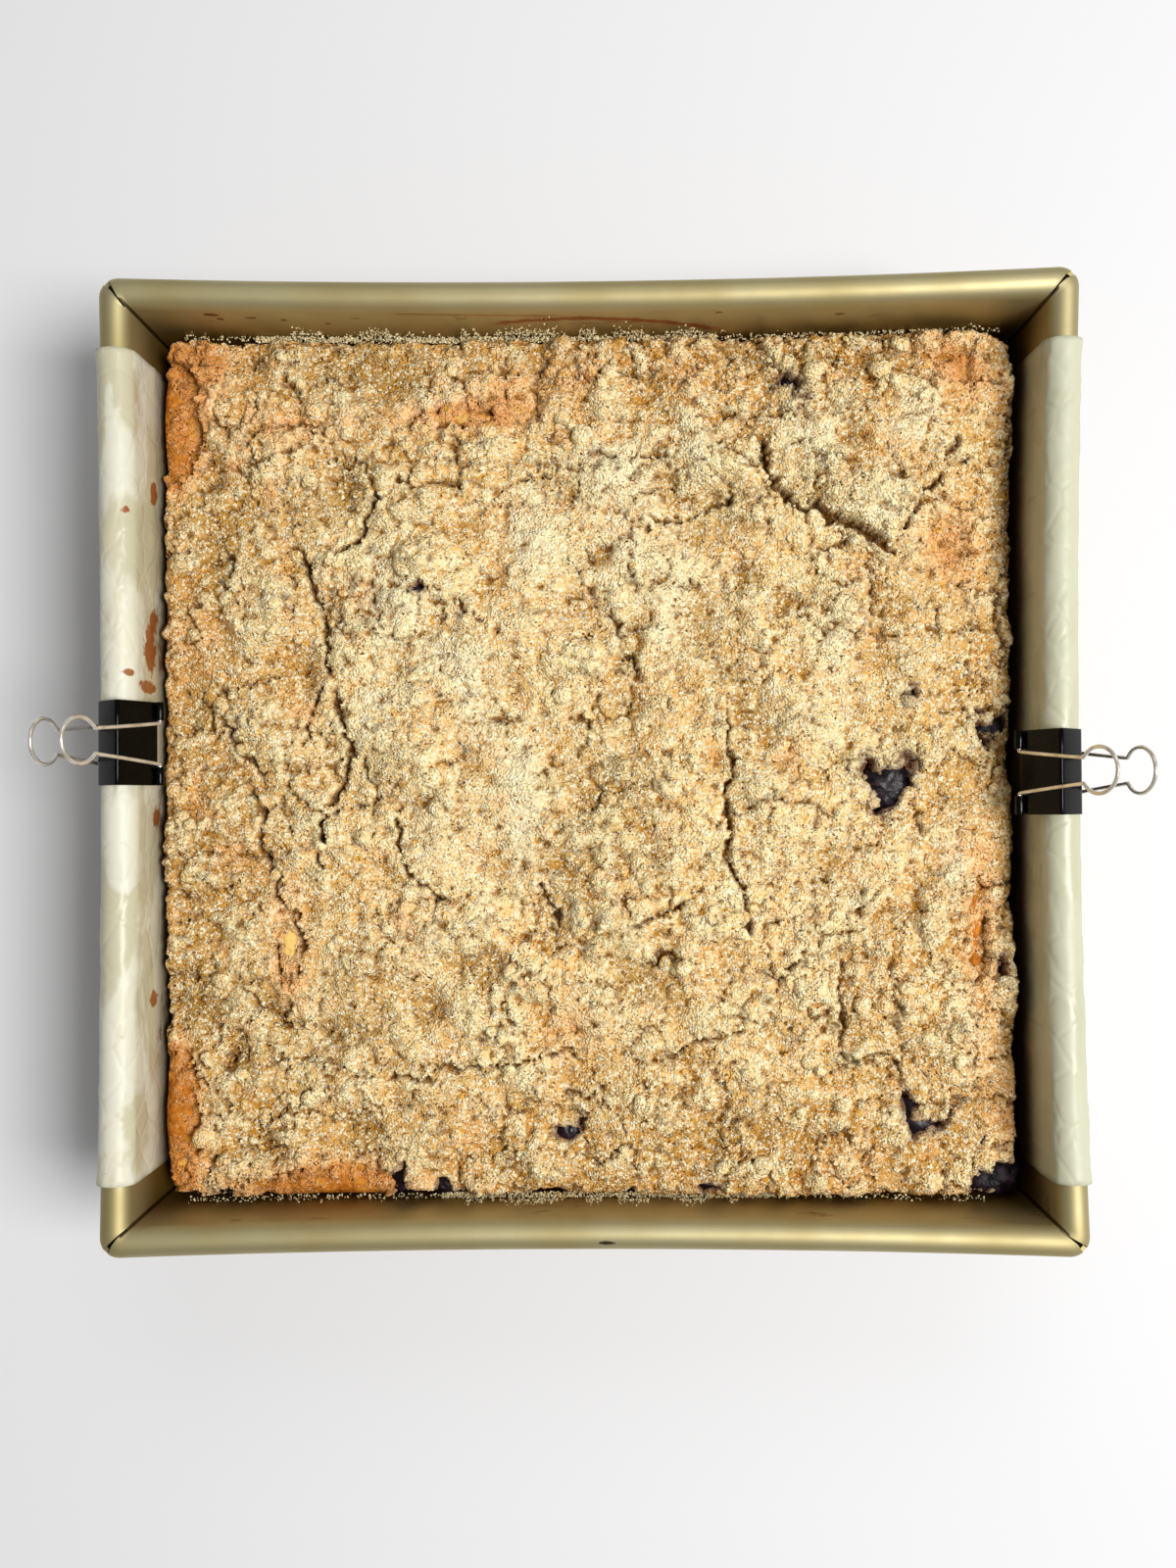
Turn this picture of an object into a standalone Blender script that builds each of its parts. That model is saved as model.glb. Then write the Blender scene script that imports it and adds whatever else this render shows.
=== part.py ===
# Crumb coffee cake with blueberries, baked in a square tin with a rolled rim.
# A parchment sling lies under the cake and over two rims, where two binder clips hold it.
# Metres, +Z up, +X to the right clip, origin at the centre of the tin's base.

import math
import random

import bmesh
import bpy
import numpy as np
from mathutils import Matrix, Vector

# The tin: inside half widths, folded sheet and rolled rim
BASE_HALF = 0.1015
ROLL_RADIUS = 0.0036
RIM_OUTER_HALF = 0.111
RIM_HALF = RIM_OUTER_HALF - 2 * ROLL_RADIUS
ROLL_HEIGHT = 0.053
SHEET = 0.0008
BASE_BEND = 0.003
WALL_CORNER = 0.0006
ROLL_CORNER = 0.0045
ROLL_TURN = 315
SIDES = ("right", "back", "left", "front")
RIM_BOW = {"right": 0.0019, "back": 0.0020, "left": 0.0010, "front": 0.0019}
MITRE_START = 0.0012
MITRE_NARROW = 0.0003
MITRE_WIDE = 0.0010

# The parchment sling
PAPER = 0.00025
PAPER_GAP = 0.00025
PAPER_HALF_WIDTH = 0.0942
FLAP_DROP = 0.010

# The cake in the tin
GAP = 0.0003
CAKE_GAPS = {"right": 0.0022, "back": 0.0007, "left": 0.0011, "front": 0.0006}
CAKE_BOTTOM = SHEET + 2 * PAPER_GAP + PAPER + GAP
CAKE_CORNER = 0.005
CAKE_FOOT = 0.0022
SHOULDER_HEIGHT = 0.0315
CRUMB_EDGE_HEIGHT = 0.0396
CRUMB_DOME = 0.0058
CRUMB_THICKNESS = 0.0062
CRUMB_SPAN = 0.1015
CRUMB_INSET = 0.0002
CRUMB_ROOT = 0.003
EDGE_WOBBLE = 0.00045
EDGE_FALL = 0.0010
EDGE_FALL_WIDTH = 0.0020
CORNER_PULL = 0.022
CRUMB_GRID = 28
CLODS = 54
CLOD_SIZES = (0.0017, 0.0040)
CLOD_SPACING = 1.25
SPONGE_RINGS = (0.985, 0.88, 0.68, 0.36)
MOUND_SPREAD = 1.2
SEED = 7
MM = 0.001

# Swells of the crumb: place, radius and height, in millimetres
MOUNDS = (
    (68, 72, 17, 4.2), (30, 76, 11, 1.4), (-25, 72, 13, 1.2), (-72, 72, 10, 1.6),
    (-75, 44, 9, 1.7), (-45, 38, 13, 2.1), (-76, 8, 8, 1.4), (-43, 4, 13, 2.3),
    (-14, 30, 11, 2.2), (-16, -6, 12, 1.6), (12, -22, 13, 2.0), (16, 48, 10, 0.9),
    (6, 14, 8, -1.5), (48, 22, 11, 1.2), (50, -18, 12, 1.8), (86, 28, 9, 1.5),
    (84, -58, 10, 1.6), (46, -76, 11, 1.3), (-8, -52, 10, 1.4), (-52, -52, 12, 1.5),
    (-86, -48, 8, 1.2), (-70, -72, 8, -1.3), (34, 46, 6, -1.2), (60, -4, 8, -1.1),
)

# Cracks between the plates of crumb: width, depth and route, in millimetres
CRACKS = (
    (1.5, 3.2, ((-69, 51), (-65.5, 45.5), (-63.5, 40), (-61.3, 33.5), (-61.3, 26.5), (-60.5, 19.5))),
    (1.1, 2.4, ((-61.5, 19.5), (-64, 14.5), (-65.5, 11), (-66.5, 3.5))),
    (1.4, 2.8, ((-59.8, 19), (-57.7, 11.5), (-55.6, 3.5), (-56.8, -3.5), (-61.2, -9.5), (-63, -26))),
    (1.3, 2.6, ((-49.8, 64), (-51.5, 57), (-54.6, 51), (-58.7, 49))),
    (1.2, 2.4, ((-85.8, 18), (-86, 12), (-84.3, 7.5), (-78.8, 1), (-76.3, -10), (-77.2, -19), (-72.7, -28))),
    (2.6, 4.2, ((40.8, 75.5), (41.9, 67), (47, 61.3), (53, 59.6), (62, 54.3), (70.5, 47.3))),
    (1.4, 3.0, ((85.4, 77), (82.6, 67.5), (75.8, 59.6), (71, 52.4))),
    (1.4, 3.0, ((31.7, 14), (32, 5), (33.6, -0.5), (31, -6.3), (32.3, -16.5), (34.8, -27.6), (35.8, -41))),
    (1.2, 2.4, ((59.3, -42), (56.8, -55.5), (57.3, -67), (69, -67.5), (72, -76))),
    (1.2, 2.4, ((-11.5, -27), (-6, -38), (8.4, -38.3), (23.5, -31))),
    (1.0, 2.2, ((-58.5, -72), (-38.8, -73.3), (-20.2, -69.9), (-5, -66.5))),
    (1.1, 2.2, ((75.3, 6.5), (76, -1.5), (75.2, -11.7), (76.7, -16.5))),
)

# Sponge that breaks through the crumb: centre, half sizes and top above the crumb, in millimetres
SPONGE_BULGES = (
    ((-96.4, 82), (4.8, 13, 4.5), 1.3),
    ((-96.9, -83), (4.3, 14, 4.5), 1.2),
    ((-62, -97.4), (15, 3.4, 4), 1.2),
    ((-70.6, -41.5), (2.6, 9, 3.5), 0.9),
    ((89.4, -39), (2.2, 12, 3.5), 0.8),
    ((-31, 81.4), (8, 2.5, 3.5), 0.8),
)

# Blueberries: centre and half sizes in millimetres, and how far the top stands above the crumb
BERRIES = (
    ((68.4, -4.4), (6.2, 6.6, 4.2), 1.5),
    ((76, -82.8), (5.8, 5.6, 4.0), 1.3),
    ((93.8, -97.0), (7.4, 4.9, 4.0), 1.6),
    ((-5.5, -85.8), (3.2, 3.2, 2.8), 0.9),
    ((-44.4, -97.0), (3.6, 4.3, 3.4), 1.3),
    ((-34.8, -98.4), (4.2, 2.9, 2.8), 1.2),
    ((-86.8, -99.0), (2.9, 2.6, 2.4), 0.9),
    ((-40.8, 40.3), (2.6, 2.4, 2.4), 0.7),
    ((47.6, 90.7), (2.8, 2.6, 2.4), 0.8),
    ((74.3, 15.3), (2.6, 2.6, 2.4), 0.8),
    ((94.4, 6.3), (3.8, 3.8, 3.2), 1.1),
    ((97.0, -48.9), (2.4, 3.2, 2.8), 0.9),
    ((27.0, -97.8), (2.6, 2.4, 2.2), 0.9),
)
# Half size, in millimetres, up to which a berry is made with fewer faces
SMALL_BERRY = 3.1

# Binder clips, measured from the centre of the roll: outward and up
CLIP_WIDTH = 0.019
CLIP_SHEET = 0.00035
CLIP_BEND = (-0.00195, 0.0080)
CLIP_SPINE = 0.0083
CLIP_SPINE_DROP = 42.5
CLIP_JAW = 0.0118
CLIP_INNER_LEAN = 28.5
CLIP_OUTER_LEAN = -7.5
CLIP_TUBE = 0.00086
CLIP_TUBE_OPENING = 0.0106
CLIP_PLACES = {"left": 0.0050, "right": -0.0028}
WIRE_RADIUS = 0.00045
HANDLE_LENGTH = 0.0283
HANDLE_LEANS = {"left": {"inner": 28.0, "outer": 14.0}, "right": {"inner": 28.8, "outer": 17.4}}
HANDLE_FOOT = 0.00465
HANDLE_NECK = 0.00275
HANDLE_LOOP = 0.0050
HANDLE_HOOK = 0.0027
LOOP_STEPS = 6


# Scene, materials and shared helpers
def clear_scene():
    for obj in list(bpy.data.objects):
        bpy.data.objects.remove(obj, do_unlink=True)


def new_collection(name, hidden=False):
    collection = bpy.data.collections.new(name)
    collection.hide_render = hidden
    bpy.context.scene.collection.children.link(collection)
    return collection


def linear(srgb):
    return [((c + 0.055) / 1.055) ** 2.4 if c > 0.04045 else c / 12.92 for c in srgb]


def material(name, srgb, roughness, metallic=0.0):
    made = bpy.data.materials.new(name)
    made.use_nodes = True
    shader = made.node_tree.nodes["Principled BSDF"]
    shader.inputs["Base Color"].default_value = (*linear(srgb), 1)
    shader.inputs["Roughness"].default_value = roughness
    shader.inputs["Metallic"].default_value = metallic
    return made


def mesh_object(name, bm, collection, finish=None):
    bmesh.ops.recalc_face_normals(bm, faces=bm.faces)
    mesh = bpy.data.meshes.new(name)
    bm.to_mesh(mesh)
    bm.free()
    obj = bpy.data.objects.new(name, mesh)
    collection.objects.link(obj)
    if finish:
        mesh.materials.append(finish)
        mesh.shade_smooth()
        mesh.set_sharp_from_angle(angle=math.radians(40))
    else:
        obj.hide_render = True
        obj.display_type = "WIRE"
    return obj


def bridge_rings(bm, rings):
    """Adds the rings as loops of vertices, with a face between each pair of neighbours."""
    loops = [[bm.verts.new(point) for point in ring] for ring in rings]
    for lower, upper in zip(loops, loops[1:]):
        for i in range(len(lower)):
            j = (i + 1) % len(lower)
            bm.faces.new((lower[i], lower[j], upper[j], upper[i]))
    return loops


def solidify(obj, thickness, offset):
    shell = obj.modifiers.new("thickness", "SOLIDIFY")
    shell.thickness = thickness
    shell.offset = offset
    shell.use_even_offset = True


def boolean(obj, operation, collection, solver="EXACT"):
    cut = obj.modifiers.new(operation.lower(), "BOOLEAN")
    cut.operation = operation
    cut.operand_type = "COLLECTION"
    cut.collection = collection
    cut.solver = solver


def apply_modifiers(obj):
    graph = bpy.context.evaluated_depsgraph_get()
    made = bpy.data.meshes.new_from_object(obj.evaluated_get(graph))
    obj.modifiers.clear()
    bm = bmesh.new()
    bm.from_mesh(made)
    bmesh.ops.recalc_face_normals(bm, faces=bm.faces)
    bm.to_mesh(made)
    bm.free()
    obj.data = made


def keep_largest_piece(obj):
    bm = bmesh.new()
    bm.from_mesh(obj.data)
    left = set(bm.verts)
    pieces = []
    while left:
        stack = [left.pop()]
        piece = set(stack)
        while stack:
            for edge in stack.pop().link_edges:
                for vert in edge.verts:
                    if vert not in piece:
                        piece.add(vert)
                        stack.append(vert)
        left -= piece
        pieces.append(piece)
    largest = max(pieces, key=len)
    bmesh.ops.delete(bm, geom=[v for v in bm.verts if v not in largest], context="VERTS")
    bm.to_mesh(obj.data)
    bm.free()


# The square that the tin's walls, the paper and the cake all follow
def wall_half(z):
    return BASE_HALF + (RIM_HALF - BASE_HALF) * z / ROLL_HEIGHT


def bow(side, u, z):
    """How far the wall leans in at u, which runs from -1 to 1 along the side."""
    return RIM_BOW[side] * min(z / ROLL_HEIGHT, 1) * (1 - u * u)


def square_ring(z, corner, outset=0.0, gaps=None, side_steps=4, corner_steps=3, half=None):
    half = wall_half(z) if half is None else half
    spans = {side: half + outset - (gaps[side] if gaps else 0) for side in SIDES}
    points = []
    for k, side in enumerate(SIDES):
        out = Vector((math.cos(k * math.pi / 2), math.sin(k * math.pi / 2)))
        along = Vector((-out.y, out.x))
        ahead = spans[SIDES[(k + 1) % 4]] - corner
        behind = spans[SIDES[k - 1]] - corner
        for i in range(side_steps + 1):
            u = 2 * i / side_steps - 1
            reach = u * (ahead if u > 0 else behind)
            points.append(out * (spans[side] - bow(side, u, z)) + along * reach)
        centre = out * (spans[side] - corner) + along * ahead
        for i in range(1, corner_steps):
            turn = math.pi / 2 * i / corner_steps
            points.append(centre + corner * (out * math.cos(turn) + along * math.sin(turn)))
    return [(p.x, p.y, z) for p in points]


def arc(centre_out, centre_up, radius, first, last, steps):
    """Points (out, up) on an arc, with angles in degrees from outward."""
    turns = [math.radians(first + (last - first) * i / steps) for i in range(steps + 1)]
    return [(centre_out + radius * math.cos(t), centre_up + radius * math.sin(t)) for t in turns]


def tin_profile():
    bend_centre = BASE_HALF - BASE_BEND
    base = arc(bend_centre, SHEET + BASE_BEND, BASE_BEND, -90, 0, 3)
    roll = arc(RIM_HALF + ROLL_RADIUS, ROLL_HEIGHT, ROLL_RADIUS, 180, 180 - ROLL_TURN, 7)
    return base + roll


def make_tin(collection, cutters, finish):
    rings = []
    for out, up in tin_profile():
        beyond = max(out - RIM_HALF, 0) / (2 * ROLL_RADIUS)
        corner = WALL_CORNER + (ROLL_CORNER - WALL_CORNER) * beyond
        rings.append(square_ring(up, corner, half=out))
    bm = bmesh.new()
    loops = bridge_rings(bm, rings)
    bm.faces.new(loops[0])
    tin = mesh_object("tin", bm, collection, finish)
    # The surface is the inside of the tin, so the sheet lies behind it.
    faces_up = max(tin.data.polygons, key=lambda face: face.area).normal.z > 0
    solidify(tin, SHEET, -1 if faces_up else 1)
    make_mitres(cutters)
    boolean(tin, "DIFFERENCE", cutters)
    return tin


def make_mitres(cutters):
    """A wedge across the roll at each corner, where the folded sides meet."""
    start = math.hypot(RIM_HALF, RIM_HALF) + MITRE_START
    end = math.hypot(RIM_OUTER_HALF, RIM_OUTER_HALF) + ROLL_RADIUS
    low = ROLL_HEIGHT - ROLL_RADIUS - 2 * SHEET
    high = ROLL_HEIGHT + 2 * ROLL_RADIUS
    outline = ((start, MITRE_NARROW / 2), (end, MITRE_WIDE / 2), (end, -MITRE_WIDE / 2), (start, -MITRE_NARROW / 2))
    for k in range(4):
        turn = Matrix.Rotation(math.radians(45 + 90 * k), 3, "Z")
        bm = bmesh.new()
        bottom = [bm.verts.new(turn @ Vector((x, y, low))) for x, y in outline]
        bm.faces.new(bottom)
        lifted = bmesh.ops.extrude_face_region(bm, geom=bm.faces[:])["geom"]
        verts = [v for v in lifted if isinstance(v, bmesh.types.BMVert)]
        bmesh.ops.translate(bm, verts=verts, vec=(0, 0, high - low))
        mesh_object(f"mitre_{k + 1}", bm, cutters)


def make_sling(collection, finish):
    """One sheet under the cake, up two walls, over their rims and down outside."""
    stations = np.linspace(-PAPER_HALF_WIDTH, PAPER_HALF_WIDTH, 7)
    bend_centre = BASE_HALF - BASE_BEND
    bend = arc(bend_centre, SHEET + BASE_BEND, BASE_BEND - PAPER_GAP, -90, 0, 3)
    over = arc(RIM_HALF + ROLL_RADIUS, ROLL_HEIGHT, ROLL_RADIUS + PAPER_GAP, 180, 0, 8)
    hem = [(RIM_OUTER_HALF + PAPER_GAP, ROLL_HEIGHT - FLAP_DROP)]
    half_section = bend + over + hem
    bm = bmesh.new()
    rows = []
    for y in stations:
        left = [(-(out - bow("left", y / BASE_HALF, up)), y, up) for out, up in reversed(half_section)]
        right = [(out - bow("right", y / BASE_HALF, up), y, up) for out, up in half_section]
        rows.append([bm.verts.new(point) for point in left + right])
    for near, far in zip(rows, rows[1:]):
        for i in range(len(near) - 1):
            bm.faces.new((near[i], near[i + 1], far[i + 1], far[i]))
    sling = mesh_object("parchment_sling", bm, collection, finish)
    faces_up = max(sling.data.polygons, key=lambda face: face.area).normal.z > 0
    solidify(sling, PAPER, 1 if faces_up else -1)
    return sling


# The crumb's surface, without cracks and clods
def crumb_top(x, y):
    u, v = x / CRUMB_SPAN, y / CRUMB_SPAN
    dome = max(1 - abs(u) ** 3, 0) * max(1 - abs(v) ** 3, 0)
    z = CRUMB_EDGE_HEIGHT + CRUMB_DOME * dome
    for mx, my, radius, height in MOUNDS:
        far = (x / MM - mx) ** 2 + (y / MM - my) ** 2
        z += height * MM * math.exp(-far / (MOUND_SPREAD * radius * radius))
    z += 0.0005 * math.sin(x / 0.0041 + 2.1 * math.sin(y / 0.0105))
    z += 0.0004 * math.sin(y / 0.0033 + 1.7 * math.sin(x / 0.0087))
    edge = CRUMB_SPAN - max(abs(x), abs(y))
    return z - EDGE_FALL * math.exp(-max(edge, 0) / EDGE_FALL_WIDTH)


def uneven_ball(name, centre, radii, collection, subdivisions, unevenness, rng, finish=None):
    bm = bmesh.new()
    bmesh.ops.create_icosphere(bm, subdivisions=subdivisions, radius=1)
    for vert in bm.verts:
        scale = 1 + rng.uniform(-unevenness, unevenness)
        vert.co = Vector(c * r * scale for c, r in zip(vert.co, radii)) + Vector(centre)
    return mesh_object(name, bm, collection, finish)


def bulge_places():
    for (x, y), radii, above in SPONGE_BULGES:
        top = crumb_top(x * MM, y * MM) + above * MM
        yield (x * MM, y * MM, top - radii[2] * MM), [r * MM for r in radii]


def sponge_top(x, y):
    return max(crumb_top(x, y) - CRUMB_THICKNESS, SHOULDER_HEIGHT)


def make_sponge(name, collection, grow, finish=None):
    """The cake below the crumb. A grown copy of it cuts the crumb's underside."""
    bottom = CAKE_BOTTOM - grow
    rings = [
        square_ring(bottom, CAKE_CORNER, grow - CAKE_FOOT, CAKE_GAPS),
        square_ring(bottom + CAKE_FOOT, CAKE_CORNER, grow, CAKE_GAPS),
        square_ring(SHOULDER_HEIGHT, CAKE_CORNER, grow, CAKE_GAPS),
    ]
    edge = square_ring(SHOULDER_HEIGHT, CAKE_CORNER, 0, CAKE_GAPS)
    for scale in SPONGE_RINGS:
        scaled = [(x * scale, y * scale) for x, y, _ in edge]
        rings.append([(x, y, sponge_top(x, y) + grow) for x, y in scaled])
    bm = bmesh.new()
    loops = bridge_rings(bm, rings)
    bm.faces.new(loops[0])
    tip = bm.verts.new((0, 0, sponge_top(0, 0) + grow))
    for i, vert in enumerate(loops[-1]):
        bm.faces.new((vert, loops[-1][(i + 1) % len(loops[-1])], tip))
    # The sponge and its cutter are split alike, so that they stay apart everywhere.
    bmesh.ops.triangulate(bm, faces=bm.faces, quad_method="FIXED")
    sponge = mesh_object(name, bm, collection, finish)
    bulges = new_collection(name + "_bulges", hidden=True)
    rng = random.Random(SEED)
    for k, (centre, radii) in enumerate(bulge_places()):
        uneven_ball(f"{name}_bulge_{k + 1}", centre, [r + grow for r in radii], bulges, 2, 0.04, rng)
    boolean(sponge, "UNION", bulges)
    apply_modifiers(sponge)
    empty_collection(bulges)
    keep_largest_piece(sponge)
    return sponge


def empty_collection(collection):
    for obj in list(collection.objects):
        bpy.data.objects.remove(obj, do_unlink=True)
    bpy.data.collections.remove(collection)


def crumb_block():
    """The crumb as a block that reaches down into the cake, with the relief on its top."""
    rng = random.Random(SEED)
    count = CRUMB_GRID
    bm = bmesh.new()
    grid = []
    for i in range(count + 1):
        row = []
        for j in range(count + 1):
            u, v = 2 * i / count - 1, 2 * j / count - 1
            inside = 0 < i < count and 0 < j < count
            u += rng.uniform(-0.3, 0.3) / count if inside else 0
            v += rng.uniform(-0.3, 0.3) / count if inside else 0
            x, y = crumb_place(u, v)
            row.append(bm.verts.new((x, y, crumb_top(x, y))))
        grid.append(row)
    for i in range(count):
        for j in range(count):
            bm.faces.new((grid[i][j], grid[i + 1][j], grid[i + 1][j + 1], grid[i][j + 1]))
    rim = [edge for edge in bm.edges if edge.is_boundary]
    skirt = bmesh.ops.extrude_edge_only(bm, edges=rim)["geom"]
    lowered = [g for g in skirt if isinstance(g, bmesh.types.BMVert)]
    for vert in lowered:
        vert.co.z = SHOULDER_HEIGHT - CRUMB_ROOT
    bmesh.ops.contextual_create(bm, geom=[g for g in skirt if isinstance(g, bmesh.types.BMEdge) and g.is_boundary])
    bmesh.ops.triangulate(bm, faces=bm.faces)
    return bm


def crumb_place(u, v):
    """Maps a square from -1 to 1 onto the crumb's uneven outline."""
    pull = 1 - CORNER_PULL * abs(u * v) ** 10
    wobble_x = EDGE_WOBBLE * math.sin(9 * v + 2 * math.sin(5 * v)) * abs(u) ** 8
    wobble_y = EDGE_WOBBLE * math.sin(8 * u + 2 * math.sin(6 * u)) * abs(v) ** 8
    z = SHOULDER_HEIGHT
    x_side, y_side = ("right" if u > 0 else "left"), ("back" if v > 0 else "front")
    span_x = wall_half(z) - CAKE_GAPS[x_side] - bow(x_side, v, z) - CRUMB_INSET
    span_y = wall_half(z) - CAKE_GAPS[y_side] - bow(y_side, u, z) - CRUMB_INSET
    return u * (span_x * pull - abs(wobble_x)), v * (span_y * pull - abs(wobble_y))


def make_clods(clods):
    """Lumps of crumb, sunk into the surface by about half."""
    rng = random.Random(SEED + 1)
    placed = []
    tries = 0
    while len(placed) < CLODS and tries < 5000:
        tries += 1
        u, v = rng.uniform(-0.95, 0.95), rng.uniform(-0.95, 0.95)
        x, y = crumb_place(u, v)
        size = rng.uniform(*CLOD_SIZES)
        if any(math.hypot(x - px, y - py) < CLOD_SPACING * (size + ps) for px, py, ps in placed):
            continue
        if near_berry(x, y, size) or near_crack(x, y, size):
            continue
        placed.append((x, y, size))
        radii = [size * rng.uniform(0.8, 1.25), size * rng.uniform(0.8, 1.25), size * rng.uniform(0.55, 0.8)]
        centre = (x, y, crumb_top(x, y) - 0.15 * radii[2])
        uneven_ball(f"clod_{len(placed)}", centre, radii, clods, 1, 0.16, rng)


def near_berry(x, y, size):
    for (bx, by), radii, _ in BERRIES:
        if math.hypot(x - bx * MM, y - by * MM) < size + max(radii[0], radii[1]) * MM:
            return True
    return False


def near_crack(x, y, size):
    for width, _, route in CRACKS:
        for (ax, ay), (bx, by) in zip(route, route[1:]):
            start, end = Vector((ax, ay)) * MM, Vector((bx, by)) * MM
            along = end - start
            t = min(max((Vector((x, y)) - start).dot(along) / along.length_squared, 0), 1)
            if (start + along * t - Vector((x, y))).length < size + width * MM:
                return True
    return False


def make_cracks(cutters):
    """A groove of triangular section along each crack, narrow and shallow at its ends."""
    for k, (width, depth, route) in enumerate(CRACKS):
        points = [Vector((x, y)) * MM for x, y in route]
        bm = bmesh.new()
        sections = []
        for i, point in enumerate(points):
            ahead, behind = points[min(i + 1, len(points) - 1)], points[max(i - 1, 0)]
            across = (ahead - behind).orthogonal().normalized()
            taper = 0.35 if i in (0, len(points) - 1) else 1
            half = across * (width * MM / 2 * taper)
            top = crumb_top(point.x, point.y)
            shape = ((0, -depth * MM * taper), (1, 0.0003), (1, 0.004), (-1, 0.004), (-1, 0.0003))
            ring = [(point.x + half.x * s, point.y + half.y * s, top + up) for s, up in shape]
            sections.append(ring)
        loops = bridge_rings(bm, sections)
        bm.faces.new(loops[0])
        bm.faces.new(loops[-1])
        mesh_object(f"crack_{k + 1}", bm, cutters)


def berry_balls(name, collection, grow, finish=None):
    rng = random.Random(SEED + 2)
    for k, ((x, y), radii, above) in enumerate(BERRIES):
        top = crumb_top(x * MM, y * MM) + above * MM
        centre = (x * MM, y * MM, top - radii[2] * MM)
        grown = [r * MM + grow for r in radii]
        fineness = 2 if max(radii) > SMALL_BERRY else 1
        uneven_ball(f"{name}_{k + 1}", centre, grown, collection, fineness, 0.05, rng, finish)


def make_cake(collection, finishes):
    pockets = new_collection("berry_pockets", hidden=True)
    berry_balls("pocket", pockets, GAP)
    cake = make_sponge("cake", collection, 0.0, finishes["sponge"])
    boolean(cake, "DIFFERENCE", pockets)
    apply_modifiers(cake)
    topping = mesh_object("crumb_topping", crumb_block(), collection, finishes["crumb"])
    clods = new_collection("clods", hidden=True)
    make_clods(clods)
    boolean(topping, "UNION", clods, "MANIFOLD")
    apply_modifiers(topping)
    empty_collection(clods)
    cutters = new_collection("crumb_cutters", hidden=True)
    make_sponge("sponge_cutter", cutters, GAP)
    make_cracks(cutters)
    boolean(topping, "DIFFERENCE", cutters, "MANIFOLD")
    boolean(topping, "DIFFERENCE", pockets, "MANIFOLD")
    apply_modifiers(topping)
    keep_largest_piece(topping)
    berry_balls("blueberry", collection, 0.0, finishes["berry"])


# Binder clips: a folded spring body and two wire handles each
def clip_points():
    """The fold lines of the body as (out, up) from the centre of the roll."""
    bend = Vector(CLIP_BEND)
    drop = math.radians(CLIP_SPINE_DROP)
    corner = bend + CLIP_SPINE * Vector((math.cos(drop), -math.sin(drop)))
    lips = {}
    for name, start, lean in (("inner", bend, CLIP_INNER_LEAN), ("outer", corner, CLIP_OUTER_LEAN)):
        turn = math.radians(lean)
        lips[name] = start - CLIP_JAW * Vector((math.sin(turn), math.cos(turn)))
    return bend, corner, lips


def clip_tube_centre(name, lips):
    lean = math.radians(CLIP_INNER_LEAN if name == "inner" else CLIP_OUTER_LEAN)
    outward = Vector((math.cos(lean), -math.sin(lean))) * (-1 if name == "inner" else 1)
    return lips[name] + outward * CLIP_TUBE, outward


def clip_curl(name, lips):
    """The lip's rolled tube, from its free edge round to the jaw."""
    centre, outward = clip_tube_centre(name, lips)
    start = math.atan2(-outward.y, -outward.x)
    way = -1 if name == "inner" else 1
    turns = [start + way * math.radians(angle) for angle in (290, 245, 200, 155, 110, 65, 0)]
    return [centre + CLIP_TUBE * Vector((math.cos(t), math.sin(t))) for t in turns]


def clip_matrix(side):
    """Clip coordinates (out, along, up) to world, on the bowed rim at the clip's place."""
    y = CLIP_PLACES[side]
    middle = RIM_HALF + ROLL_RADIUS - bow(side, y / BASE_HALF, ROLL_HEIGHT)
    sign = 1 if side == "right" else -1
    turn = Matrix.Rotation(0 if sign > 0 else math.pi, 4, "Z")
    return Matrix.Translation((sign * middle, y, ROLL_HEIGHT)) @ turn


def make_clip(side, collection, finishes):
    bend, corner, lips = clip_points()
    inner, outer = clip_curl("inner", lips), clip_curl("outer", lips)[::-1]
    section = inner + [bend, corner] + outer
    bm = bmesh.new()
    half, opening = CLIP_WIDTH / 2, CLIP_TUBE_OPENING / 2
    rows = [[bm.verts.new((p.x, y, p.y)) for p in section] for y in (-half, -opening, opening, half)]
    for strip, (near, far) in enumerate(zip(rows, rows[1:])):
        # The tubes are cut away along the middle of each lip, and the plain jaws go right across.
        first = len(inner) - 1 if strip == 1 else 0
        last = len(section) - len(outer) if strip == 1 else len(section) - 1
        for i in range(first, last):
            bm.faces.new((near[i], near[i + 1], far[i + 1], far[i]))
    bmesh.ops.delete(bm, geom=[v for v in bm.verts if not v.link_faces], context="VERTS")
    bm.transform(clip_matrix(side))
    body = mesh_object(f"clip_{side}", bm, collection, finishes["clip"])
    solidify(body, CLIP_SHEET, 0)
    for name in ("inner", "outer"):
        make_handle(side, name, clip_tube_centre(name, lips)[0], collection, finishes["wire"])


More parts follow.
